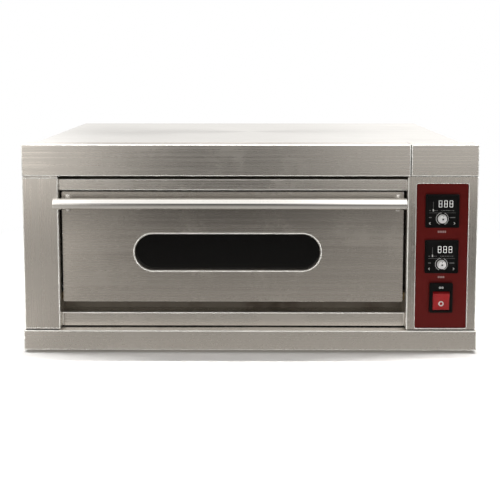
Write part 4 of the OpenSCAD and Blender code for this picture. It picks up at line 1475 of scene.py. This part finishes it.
@dataclass
class Controller:
    """A square controller: frame, sunk face, lit digits and printed marks."""

    node: str
    corner: float = 3.0 * MM
    rim: float = 4.0 * MM
    sink: float = 3.0 * MM
    front_edge: float = 1.8 * MM
    proud: float = 5.0 * MM
    digit: tuple[float, float] = (8.8 * MM, 19.0 * MM)
    digit_pitch: float = 15.4 * MM
    digit_middle: tuple[float, float] = (9.5 * MM, 20.8 * MM)
    stroke: float = 0.95 * MM
    dial_drop: float = 22.0 * MM
    ring: tuple[float, float] = (16.6 * MM, 17.9 * MM)
    tick_out: float = 20.2 * MM
    set_point: float = 14.0
    set_point_out: float = 17.0 * MM

    def __post_init__(self) -> None:
        """Reads the controller's place from its CAD node."""
        low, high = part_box(self.node)
        self.width = high.x - low.x
        self.centre = Vector(((low.x + high.x) / 2, low.y, (low.z + high.z) / 2))
        self.depth = high.y - low.y
        self.face_y = low.y + self.sink

    def at(self, right: float, up: float, lift: float = 0.0) -> Matrix:
        """The place of something on the sunk face."""
        return on_front(self.centre.x + right, self.face_y - lift, self.centre.z + up)

    def build(self) -> None:
        """Builds the controller's pieces."""
        self.build_frame()
        self.build_digits()
        self.build_marks()

    def build_frame(self) -> None:
        """The frame and its sunk face, and the case behind the fascia."""
        back, case = self.proud - self.depth, self.width - 6 * MM
        steps = [(case, 1.2 * MM, back), (case, 1.2 * MM, 0.0), (self.width, self.corner, 0.0)]
        for angle in (0, 30, 60, 90):
            turn = math.radians(angle)
            shrink = self.front_edge * (1 - math.cos(turn))
            steps.append((self.width - 2 * shrink, self.corner - shrink * 0.6,
                          self.proud - self.front_edge * (1 - math.sin(turn))))
        inside = self.width - 2 * self.rim
        steps += [(inside + 0.8 * MM, 1.4 * MM, self.proud), (inside, 1.2 * MM, self.proud - 0.5 * MM),
                  (inside - 0.6 * MM, 1.0 * MM, self.proud - self.sink)]
        bm = stack([Outline(size, size, corner, level) for size, corner, level in steps])
        bm.transform(on_front(self.centre.x, self.centre.y + self.proud, self.centre.z))
        put(bm, Stand(self.node + "_frame", "cabinet", CONTROL_BLACK, "controller_black", (self.node,)))

    def segment(self, length: float, upright: bool, right: float, up: float) -> bmesh.types.BMesh:
        """One lit bar of a digit, with pointed ends.

        Args:
            length: Its length.
            upright: Whether it stands.
            right: Place of its middle.
            up: Place of its middle.

        Returns:
            The bar, drawn flat.
        """
        bar = plate(length, self.stroke, 0.2 * MM, self.stroke * 0.42, 0.0, 2)
        turn = Matrix.Rotation(math.radians(90 if upright else 0), 4, "Z")
        bar.transform(Matrix.Translation((right, up, 0)) @ turn)
        return bar

    def build_digits(self) -> None:
        """Three digits with all seven segments lit."""
        bm = bmesh.new()
        wide, tall = self.digit
        half = tall / 2 - self.stroke / 2
        side = wide / 2 - self.stroke / 4
        lift = 1.1 * MM
        for place in (-1, 0, 1):
            spot = self.at(self.digit_middle[0] + place * self.digit_pitch, self.digit_middle[1], lift)
            for level in (-half, 0, half):
                join(bm, self.segment(wide - self.stroke * 0.8, False, 0, level), spot)
            for across in (-side, side):
                for level in (-half / 2, half / 2):
                    join(bm, self.segment(half - 0.3 * MM, True, across, level), spot)
        put(bm, Stand(self.node + "_digits", "cabinet", DIGIT_GLOW, "display_window"))

    def build_marks(self) -> None:
        """Print on the face: scale marks, a dividing line, plain symbols and the dial's ring."""
        white, grey = bmesh.new(), bmesh.new()
        dial = (0.0, -self.dial_drop)
        for start, end in ((112, 248), (-68, 68)):
            join(white, ring_arc(*self.ring, start, end), self.at(*dial, PRINT_LIFT))
        for angle in range(-130, 131, 26):
            tick = plate(0.7 * MM, 1.9 * MM, PRINT_THICK)
            tick.transform(round_dial(angle, self.tick_out))
            join(grey, tick, self.at(*dial, PRINT_LIFT))
        tick = plate(2.0 * MM, 3.2 * MM, PRINT_THICK, 0.4 * MM)
        tick.transform(round_dial(self.set_point, self.set_point_out))
        join(white, tick, self.at(*dial, 0.08 * MM))
        join(grey, plate(0.9 * MM, 19 * MM, PRINT_THICK), self.at(-26 * MM, 17.5 * MM))
        join(white, plate(2.6 * MM, 7 * MM, PRINT_THICK, 0.5 * MM), self.at(-26 * MM, 2.6 * MM))
        join(grey, plate(76 * MM, 0.8 * MM, PRINT_THICK), self.at(0, -5.2 * MM))
        for index, length in enumerate((4.5, 0, 5, 3.5, 0, 2.5, 6, 4, 7, 3, 5)):
            if length:
                mark = plate(length * MM, 2.0 * MM, PRINT_THICK, 0.4 * MM)
                join(grey, mark, self.at((-35 + index * 6.6) * MM, 1.4 * MM))
        for right, up, wide in ((-34, -18.5, 7.5), (30, -18.5, 14)):
            mark = plate(wide * MM, 2.6 * MM, PRINT_THICK, 0.6 * MM)
            join(grey, mark, self.at(right * MM, up * MM))
        for side in (-1, 1):
            self.add_arrow(white, side * 35.0 * MM, -35.5 * MM, side)
        put(white, Stand(self.node + "_print", "cabinet", PRINT_WHITE, "controller_black"))
        put(grey, Stand(self.node + "_fine_print", "cabinet", PRINT_GREY, "controller_black"))

    def add_arrow(self, bm: bmesh.types.BMesh, right: float, up: float, side: int) -> None:
        """A small bent arrow, the usual sign for turning down or up.

        Args:
            bm: The print that it joins.
            right: Place of its middle.
            up: Place of its middle.
            side: 1 or -1, the way it points.
        """
        for angle, lift in ((55, 1.6), (-40, -1.6)):
            stroke = plate(1.5 * MM, 4.8 * MM, PRINT_THICK, 0.4 * MM)
            slant = Matrix.Rotation(math.radians(angle * side), 4, "Z")
            stroke.transform(Matrix.Translation((0, lift * MM, 0)) @ slant)
            join(bm, stroke, self.at(right, up))


@dataclass
class Dial:
    """A turned dial: skirt, fluted cap with a dished front, dark centre and pointer."""

    node: str
    flutes: int = 30
    flute_depth: float = 0.4 * MM
    dish: float = 0.9 * MM
    edge: float = 1.0 * MM

    def build(self) -> None:
        """Builds the dial and its inlay."""
        low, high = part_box(self.node)
        centre = middle((low, high))
        skirt_radius = (high.x - low.x) / 2
        cap_radius = skirt_radius - 2 * MM
        spindle = 3 * MM
        length = high.y - low.y
        skirt0 = length - 13.4 * MM
        cap0 = skirt0 + 3 * MM
        profile = [(0, 0), (0, spindle), (skirt0, spindle), (skirt0, skirt_radius - 0.4 * MM)]
        profile += arc(cap0 - 0.8 * MM, skirt_radius - 0.8 * MM, 0.8 * MM, 90, 0)
        profile += [(cap0, cap_radius), (length - self.edge, cap_radius)]
        profile += arc(length - self.edge, cap_radius - self.edge, self.edge, 90, 0)
        profile += [(length, cap_radius - 2 * MM), (length - self.dish, cap_radius - 4 * MM),
                    (length - self.dish, 0)]
        bm = lathe(profile, self.flutes * 4)
        for vert in bm.verts:
            out = math.hypot(vert.co.x, vert.co.y)
            turn = math.atan2(vert.co.y, vert.co.x) / math.tau * self.flutes
            if abs(out - cap_radius) < WELD and vert.co.z > cap0 - WELD and round(turn * 4) % 4 == 0:
                vert.co.xy *= (out - self.flute_depth) / out
        bm.transform(aim(Vector((centre.x, high.y, centre.z)), FORWARD))
        put(bm, Stand(self.node + "_turned", self.node, DIAL_METAL, "dial_metal", (self.node,)))
        self.build_inlay(Vector((centre.x, low.y + self.dish, centre.z)))

    def build_inlay(self, spot: Vector) -> None:
        """The dark cross at the centre and the pointer.

        Args:
            spot: Middle of the dished front.
        """
        bm = bmesh.new()
        for turn in (45, -45):
            bar = plate(6.4 * MM, 1.7 * MM, 0.25 * MM, 0.5 * MM)
            bar.transform(Matrix.Rotation(math.radians(turn), 4, "Z"))
            join(bm, bar, on_front(*spot))
        join(bm, lathe([(0, 0), (0, 2.4 * MM), (0.4 * MM, 2.2 * MM), (0.4 * MM, 0)], 20), on_front(*spot))
        pointer = plate(1.1 * MM, 4.4 * MM, 0.3 * MM, 0.3 * MM)
        join(bm, pointer, on_front(spot.x, spot.y - 0.75 * MM, spot.z + 8.2 * MM))
        put(bm, Stand(self.node + "_inlay", self.node, DIAL_DARK, "dial_metal"))


@dataclass
class PowerSwitch:
    """The power switch: framed case, red rocker and their marks."""

    ridge_up: float = 15.4 * MM
    ring: tuple[float, float] = (4.4 * MM, 7.4 * MM)
    ring_down: float = 7.6 * MM
    rocker_slope: float = 16.0
    dot: tuple[float, float] = (1.3 * MM, 3.0 * MM)
    dot_out: float = 3.6 * MM
    dot_drop: float = 12.6 * MM

    def build(self) -> None:
        """Builds the case, the rocker and the marks."""
        case = cad_copy("switch_case")
        round_edges(case, bend_edges(case, 1.2 * MM, 50), 0.9 * MM, 3)
        put(case, Stand("switch_frame", "cabinet", CONTROL_BLACK, "controller_black", ("switch_case",)))
        rocker = cad_copy("power_rocker")
        round_edges(rocker, bend_edges(rocker, 1.5 * MM, 50), 0.8 * MM, 3)
        put(rocker, Stand("rocker_cap", "power_rocker", ROCKER_RED, "rocker_red", ("power_rocker",)))
        self.build_rocker_marks()
        self.build_case_mark()

    def build_rocker_marks(self) -> None:
        """The white ring on the lower half and the ridge on the upper one."""
        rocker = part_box("power_rocker")
        centre = middle(rocker)
        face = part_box("switch_case")[0].y - 1 * MM
        ring = ring_arc(*self.ring, 0, 360, 40)
        ring.transform(on_front(centre.x, face - PRINT_LIFT, centre.z - self.ring_down))
        put(ring, Stand("rocker_ring", "power_rocker", PRINT_WHITE, "rocker_red"))
        slope = math.tan(math.radians(self.rocker_slope))
        ridge = plate(40 * MM, 1.8 * MM, 1.0 * MM, 0.5 * MM, 0.3 * MM)
        ridge.transform(on_front(centre.x, face - self.ridge_up * slope + 0.4 * MM, centre.z + self.ridge_up))
        put(ridge, Stand("rocker_ridge", "power_rocker", ROCKER_RED, "rocker_red"))

    def build_case_mark(self) -> None:
        """Two plain rings above the rocker."""
        low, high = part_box("switch_case")
        centre = (low.x + high.x) / 2
        bm = bmesh.new()
        for side in (-1, 1):
            join(bm, ring_arc(*self.dot, 0, 360, 20),
                 on_front(centre + side * self.dot_out, low.y - PRINT_LIFT, high.z - self.dot_drop))
        put(bm, Stand("switch_dots", "cabinet", PRINT_WHITE, "controller_black"))


@dataclass
class Controls:
    """The red fascia with its controllers, dials, switch and label bars."""

    label_drop: float = 12.0 * MM

    def build(self) -> None:
        """Builds every piece of the control column."""
        fascia = cad_copy("control_fascia")
        put(fascia, Stand("fascia_plate", "cabinet", FASCIA_RED, "fascia_red", ("control_fascia",)))
        windows = bmesh.new()
        for low, high in loose_boxes("display_windows"):
            pane = plate(high.x - low.x, high.z - low.z, high.y - low.y, 1 * MM, 0.3 * MM)
            centre = middle((low, high))
            join(windows, pane, on_front(centre.x, high.y, centre.z))
        put(windows, Stand("display_panes", "cabinet", DISPLAY_GLASS, "display_window", ("display_windows",)))
        for node in ("upper_controller", "lower_controller"):
            Controller(node).build()
            self.build_label(node)
        for node in ("upper_dial", "lower_dial"):
            Dial(node).build()
        PowerSwitch().build()

    def build_label(self, node: str) -> None:
        """Plain dashes below a controller, in place of its label.

        Args:
            node: The controller's CAD node.
        """
        low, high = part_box(node)
        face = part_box("control_fascia")[0].y
        count = 5 if node == "upper_controller" else 4
        pitch = 4.9 * MM
        bm = bmesh.new()
        for index in range(count):
            dash = plate(3.9 * MM, 6.2 * MM if count == 5 else 5.6 * MM, PRINT_THICK, 0.8 * MM)
            across = (low.x + high.x) / 2 + (index - (count - 1) / 2) * pitch
            join(bm, dash, on_front(across, face - PRINT_LIFT, low.z - self.label_drop))
        put(bm, Stand(node + "_label", "cabinet", PRINT_LABEL, "fascia_red"))


# ---- Chamber ----


@dataclass
class Chamber:
    """The baking chamber: liner, stones, elements, lamp, seal and steam outlet."""

    wall_edge: float = 0.8 * MM

    def build(self) -> None:
        """Builds every piece of the chamber."""
        # The chamber's front, seen below the door, is darkened by painted shade
        SheetPart("chamber_front", SHADE_DARKENED_STEEL, "chamber_steel", self.wall_edge, width=1.8 * MM).build()
        for node in ("chamber_floor", "chamber_roof", "chamber_side_walls", "chamber_back_wall",
                     "stone_ledges", "element_supports"):
            SheetPart(node, CHAMBER_STEEL, "chamber_steel", self.wall_edge, width=1.8 * MM).build()
        stones = cad_copy("baking_stones")
        round_edges(stones, bend_edges(stones), 2.0 * MM, 3)
        put(stones, Stand("stones_fired", "cabinet", BAKING_STONE, "baking_stone", ("baking_stones",)))
        seal = cad_copy("door_seal")
        round_edges(seal, [edge for edge in seal.edges if edge.calc_face_angle(0) > 0.5], 2.4 * MM, 4)
        put(seal, Stand("seal_cord", "cabinet", SEAL_ROPE, "seal_rope", ("door_seal",), 60))
        self.build_lamp()
        self.build_outlet()

    def build_lamp(self) -> None:
        """The lamp's cup, lens and bulb, each turned about the lamp's axis."""
        low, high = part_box("lamp_housing")
        centre = middle((low, high))
        deep, radius = high.x - low.x, 30 * MM
        wall, flange = 4 * MM, 34 * MM
        cup = [(0, 0), (0, radius)] + [(deep - 2 * MM, radius), (deep - 2 * MM, flange)]
        cup += arc(deep - 0.8 * MM, flange - 0.8 * MM, 0.8 * MM, 90, 0) + [(deep, radius - wall),
            (3 * MM, radius - wall), (3 * MM, 0)]
        put_turned(cup, 48, Vector((low.x, centre.y, centre.z)), RIGHTWARD,
                   Stand("lamp_cup", "cabinet", CHAMBER_STEEL, "chamber_steel", ("lamp_housing",)))
        low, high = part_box("lamp_lens")
        thick, rim = high.x - low.x, (high.z - low.z) / 2 - 0.3 * MM
        lens = [(0, 0), (0, rim), (thick - 1.5 * MM, rim), (thick - 0.5 * MM, rim - 3 * MM), (thick, 0)]
        put_turned(lens, 40, Vector((low.x, centre.y, centre.z)), RIGHTWARD,
                   Stand("lamp_glass", "cabinet", CLEAR_GLASS, "clear_glass", ("lamp_lens",)))
        low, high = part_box("lamp_bulb")
        length, ball, neck = high.x - low.x, 14 * MM, 11 * MM
        bulb = [(0, 0), (0, neck), (length - 2.2 * ball, neck), (length - 1.9 * ball, neck * 0.98)]
        bulb += arc(length - ball, 0, ball, 128, 0, 12)
        put_turned(bulb, 40, Vector((low.x, centre.y, centre.z)), RIGHTWARD,
                   Stand("bulb_blown", "cabinet", BULB_GLASS, "bulb_glass", ("lamp_bulb",)))

    def build_outlet(self) -> None:
        """The steam outlet: a thin tube with a rolled end and a flange with a bead."""
        low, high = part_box("steam_outlet")
        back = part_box("back_panel")[1].y
        centre = middle((low, high))
        length, flange_at = high.y - low.y, back - low.y
        radius, wall, flange = 20 * MM, 1.5 * MM, 32 * MM
        profile = [(0, radius - wall), (0, radius), (flange_at, radius), (flange_at, flange)]
        profile += arc(flange_at + 0.8 * MM, flange - 0.7 * MM, 0.7 * MM, 90, 0, 3)
        profile += [(flange_at + 1.5 * MM, radius + 2 * MM), (flange_at + 3 * MM, radius)]
        roll = wall / 2
        profile += [(length - 0.5 * MM, radius)] + arc(length - roll, radius - roll, roll, 75, -75, 5)
        put_turned(profile, 64, Vector((centre.x, low.y, centre.z)), BACKWARD,
                   Stand("outlet_tube", "cabinet", BRACKET_STEEL, "body_stainless", ("steam_outlet",)), True)


# ---- Electrics ----


@dataclass
class Electrics:
    """What stands behind the control column, and the mains cable's gland."""

    nut_edge: float = 0.8 * MM

    def build(self) -> None:
        """Builds the electrics' pieces."""
        for node, finish, slot in (
            ("electrics_partition", GALVANISED, "galvanised"),
            ("contactors", ELECTRICS_PLASTIC, "electrics_plastic"),
            ("terminal_block", ELECTRICS_PLASTIC, "electrics_plastic"),
        ):
            SheetPart(node, finish, slot, 0.9 * MM).build()
        self.build_gland()

    def build_gland(self) -> None:
        """The gland: threaded sleeve, domed nut with ribs and a hexagon."""
        low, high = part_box("cable_gland")
        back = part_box("back_panel")[1].y
        centre = middle((low, high))
        length, face = high.y - low.y, back - low.y
        bore, outer, hexagon = 9 * MM, 12.5 * MM, 17.5 * MM
        sleeve = [(0, bore), (0, outer - 1 * MM)]
        thread = int((face - 2 * MM) / (1.5 * MM))
        for turn in range(thread):
            along = 1 * MM + turn * 1.5 * MM
            sleeve += [(along, outer - 0.8 * MM), (along + 0.75 * MM, outer)]
        sleeve += [(face, outer - 0.5 * MM), (length - 4 * MM, outer - 0.2 * MM)]
        sleeve += arc(length - 4 * MM, outer - 4 * MM, 3.8 * MM, 80, 5, 5) + [(length, bore)]
        bm = lathe(sleeve, 48, True)
        nut = lathe([(face, outer - 1 * MM), (face, hexagon), (face + 9 * MM, hexagon),
                     (face + 9 * MM, outer - 1 * MM)], 6, True)
        round_edges(nut, bend_edges(nut, 4 * MM, 25), self.nut_edge, 3)
        join(bm, nut)
        bm.transform(aim(Vector((centre.x, low.y, centre.z)), BACKWARD))
        put(bm, Stand("gland_moulded", "cabinet", GLAND_PLASTIC, "gland_plastic", ("cable_gland",)))


@dataclass
class CarriedNodes:
    """CAD nodes whose shape stays as it is, and the finish of each."""

    finishes: dict[str, Finish] = field(default_factory=lambda: {
        "side_insulation": MINERAL_WOOL,
        "deck_insulation": MINERAL_WOOL,
        "door_insulation": MINERAL_WOOL,
        "upper_elements": ELEMENT_SHEATH,
        "lower_elements": ELEMENT_SHEATH,
        "temperature_probes": SCREW_STEEL,
        "wiring_loom": WIRE_SLEEVE,
        "window_tunnel": CHAMBER_STEEL,
        "hinge_springs": SPRING_STEEL,
    })

    def dress(self) -> None:
        """Gives each node its finish, and any other shown node a plain chamber steel."""
        for name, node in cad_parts.items():
            finish = self.finishes.get(name, CHAMBER_STEEL)
            if not node.material_slots:
                node.data.materials.append(None)
            for slot in node.material_slots:
                slot.material = finish.material()
            if not node.hide_render:
                LOG.info("%s: CAD shape, %s", name, finish.name)


# ---- Studio ----


@dataclass(frozen=True)
class Ramp:
    """A value that goes from start to end while another goes from low to high."""

    low: float
    high: float
    start: float
    end: float

    def on(self, tree: Tree, value: object, smooth: bool = True) -> bpy.types.NodeSocket:
        """Wires the ramp.

        Args:
            tree: The tree to build in.
            value: What goes from low to high.
            smooth: Whether the ends are eased.

        Returns:
            The ramp's value.
        """
        return tree.fit(value, self.low, self.high, self.start, self.end, smooth)


@dataclass(frozen=True)
class AreaLight:
    """One area light that shines at the object: its place, its two sizes and its power."""

    name: str
    spot: tuple[float, float, float]
    size: tuple[float, float]
    power: float

    def build(self) -> None:
        """Places the light."""
        data = bpy.data.lights.new(self.name, "AREA")
        data.shape = "RECTANGLE"
        data.size, data.size_y = self.size
        data.energy = self.power
        data.color = (1.0, 0.985, 0.96)
        light = bpy.data.objects.new(self.name, data)
        light.visible_glossy = False
        bpy.context.scene.collection.objects.link(light)
        light.location = self.spot
        towards = Vector((0, 0, 0.25)) - Vector(self.spot)
        light.rotation_euler = towards.to_track_quat("-Z", "Y").to_euler()


@dataclass
class Studio:
    """Pale floor, soft lights, what the metal mirrors, and the camera.

    The surround's ramps give what metal mirrors of it, by direction, and the floor's by place.
    """

    floor_half: float = 9.0
    oven_front: float = -0.44
    camera_at: tuple[float, float, float] = (0.0162, -3.0863, 0.8455)
    camera_pitch: float = 5.551
    camera_turn: float = 0.346
    lens: float = 67.76
    shift_up: float = -0.2
    above: Ramp = Ramp(0.08, 0.45, 0.09, 1.1)
    behind: Ramp = Ramp(-0.2, 0.5, 0.0, 0.47)
    left: Ramp = Ramp(-0.245, -0.16, 1.35, 0.0)
    right: Ramp = Ramp(0.0, 0.17, 0.0, 0.75)
    sides: Ramp = Ramp(0.45, 0.85, 0.0, 0.7)
    brightest: float = 1.5
    surround_light: float = 0.25
    far_floor_light: float = 0.3
    floor_start: float = 0.50
    floor_steps: tuple[Ramp, ...] = (
        Ramp(0.0, 0.5, 0.0, -0.13),
        Ramp(0.5, 1.2, 0.0, -0.17),
        Ramp(1.2, 2.6, 0.0, -0.11),
        Ramp(2.6, 4.5, 0.0, 0.07),
    )
    floor_far: Ramp = Ramp(2.2, 4.4, 0.0, 1.0)
    far_left: Ramp = Ramp(-1.75, -1.25, 1.5, 0.0)
    far_right: Ramp = Ramp(0.0, 1.2, 0.0, 0.7)
    near_left: Ramp = Ramp(-0.8, -0.55, 0.26, 0.0)
    floor_fade: Ramp = Ramp(1.0, 1.9, 0.0, 1.0)
    lights: tuple[AreaLight, ...] = (
        AreaLight("strip", (0.0, -0.27, 2.6), (4.4, 0.1), 130.0),
        AreaLight("overhead", (0.0, 0.12, 2.5), (1.9, 1.5), 62.0),
        AreaLight("key", (-2.2, -2.6, 2.4), (1.8, 1.8), 9.0),
        AreaLight("fill", (2.4, -2.2, 1.6), (1.6, 1.6), 3.0),
    )

    def build(self) -> None:
        """Builds the studio."""
        bpy.context.scene.view_settings.view_transform = "Standard"
        self.build_world()
        self.build_floor()
        for light in self.lights:
            light.build()
        self.build_camera()

    def build_world(self) -> None:
        """A white surround; metal mirrors a studio that is dark in front and bright above and behind."""
        world = bpy.data.worlds.new("studio")
        bpy.context.scene.world = world
        world.use_nodes = True
        tree = Tree(world.node_tree)
        world.node_tree.nodes.clear()
        across, depth, up = tree.axes(tree.node("ShaderNodeTexCoord").outputs["Generated"])
        level = self.above.on(tree, up)
        for ramp, value in ((self.behind, depth), (self.left, across), (self.right, across),
                            (self.sides, tree.math("ABSOLUTE", across))):
            level = tree.math("ADD", level, ramp.on(tree, value))
        level = tree.math("MINIMUM", level, self.brightest)
        mirrored = tree.node("ShaderNodeBackground")
        mirrored.inputs["Color"].default_value = (1.0, 0.975, 0.94, 1)
        tree.feed(mirrored.inputs["Strength"], level)
        plain = tree.node("ShaderNodeBackground")
        plain.inputs["Color"].default_value = (1, 1, 1, 1)
        path = tree.node("ShaderNodeLightPath")
        seen = path.outputs["Is Camera Ray"]
        tree.feed(plain.inputs["Strength"], tree.fit(seen, 0.0, 1.0, self.surround_light, 1.0, False))
        mixed = self.mix(tree, path.outputs["Is Glossy Ray"], plain, mirrored)
        tree.feed(tree.node("ShaderNodeOutputWorld").inputs[0], mixed.outputs[0])

    def mix(self, tree: Tree, factor: object, first: bpy.types.Node,
            second: bpy.types.Node) -> bpy.types.Node:
        """Mixes two shaders.

        Args:
            tree: The tree to build in.
            factor: Share of the second shader.
            first: A shader.
            second: A shader.

        Returns:
            The Mix Shader node.
        """
        made = tree.node("ShaderNodeMixShader")
        for socket, value in zip(made.inputs, (factor, first.outputs[0], second.outputs[0])):
            tree.feed(socket, value)
        return made

    def build_floor(self) -> None:
        """A pale floor that fades into the surround, and that metal mirrors as a warm grey one."""
        bm = bmesh.new()
        bmesh.ops.create_grid(bm, x_segments=1, y_segments=1, size=self.floor_half)
        mesh = bpy.data.meshes.new("floor")
        bm.to_mesh(mesh)
        bm.free()
        floor = bpy.data.objects.new("floor", mesh)
        bpy.context.scene.collection.objects.link(floor)
        paint = bpy.data.materials.new("pale_floor")
        paint.use_nodes = True
        mesh.materials.append(paint)
        self.wire_floor(Tree(paint.node_tree))

    def wire_floor(self, tree: Tree) -> None:
        """Wires the floor's material.

        Args:
            tree: Its node tree.
        """
        tree.tree.nodes.clear()
        across, depth, _ = tree.axes(tree.node("ShaderNodeTexCoord").outputs["Object"])
        away = tree.math("SQRT", tree.math("ADD", tree.math("MULTIPLY", across, across),
                                           tree.math("MULTIPLY", depth, depth)))
        matt = tree.node("ShaderNodeBsdfDiffuse")
        mottle = tree.noise(tree.place((1, 1, 1)), 3.0, 4.0)
        tree.feed(matt.inputs["Color"], tree.blend(mottle, (0.92, 0.92, 0.92, 1), (0.95, 0.95, 0.95, 1)))
        path = tree.node("ShaderNodeLightPath")
        surround = tree.node("ShaderNodeEmission")
        seen = path.outputs["Is Camera Ray"]
        tree.feed(surround.inputs["Strength"], tree.fit(seen, 0.0, 1.0, self.far_floor_light, 1.0, False))
        faded = self.mix(tree, self.floor_fade.on(tree, away), matt, surround)
        mirrored = tree.node("ShaderNodeEmission")
        mirrored.inputs["Color"].default_value = (1.0, 0.95, 0.885, 1)
        front = tree.math("SUBTRACT", self.oven_front, depth)
        level: object = self.floor_start
        for step in self.floor_steps:
            level = tree.math("ADD", level, step.on(tree, front, False))
        far = self.floor_far.on(tree, front)
        for ramp in (self.far_left, self.far_right):
            level = tree.math("ADD", level, tree.math("MULTIPLY", far, ramp.on(tree, across)))
        level = tree.math("ADD", level, self.near_left.on(tree, across))
        tree.feed(mirrored.inputs["Strength"], level)
        mixed = self.mix(tree, path.outputs["Is Glossy Ray"], faded, mirrored)
        tree.feed(tree.node("ShaderNodeOutputMaterial").inputs[0], mixed.outputs[0])

    def build_camera(self) -> None:
        """The camera, a little above the oven and nearly square on to it."""
        data = bpy.data.cameras.new("camera")
        data.lens = self.lens
        data.shift_y = self.shift_up
        camera = bpy.data.objects.new("camera", data)
        bpy.context.scene.collection.objects.link(camera)
        camera.location = self.camera_at
        camera.rotation_euler = (math.radians(90 - self.camera_pitch), 0, math.radians(self.camera_turn))
        bpy.context.scene.camera = camera


def main() -> None:
    """Builds the oven and its studio in order."""
    logging.basicConfig(level=logging.INFO, format="%(name)s %(message)s")
    Studio().build()
    for assembly in (Cabinet(), Door(), Controls(), Chamber(), Electrics()):
        LOG.info("building %s", type(assembly).__name__)
        assembly.build()
    CarriedNodes().dress()


if __name__ == "__main__":
    main()
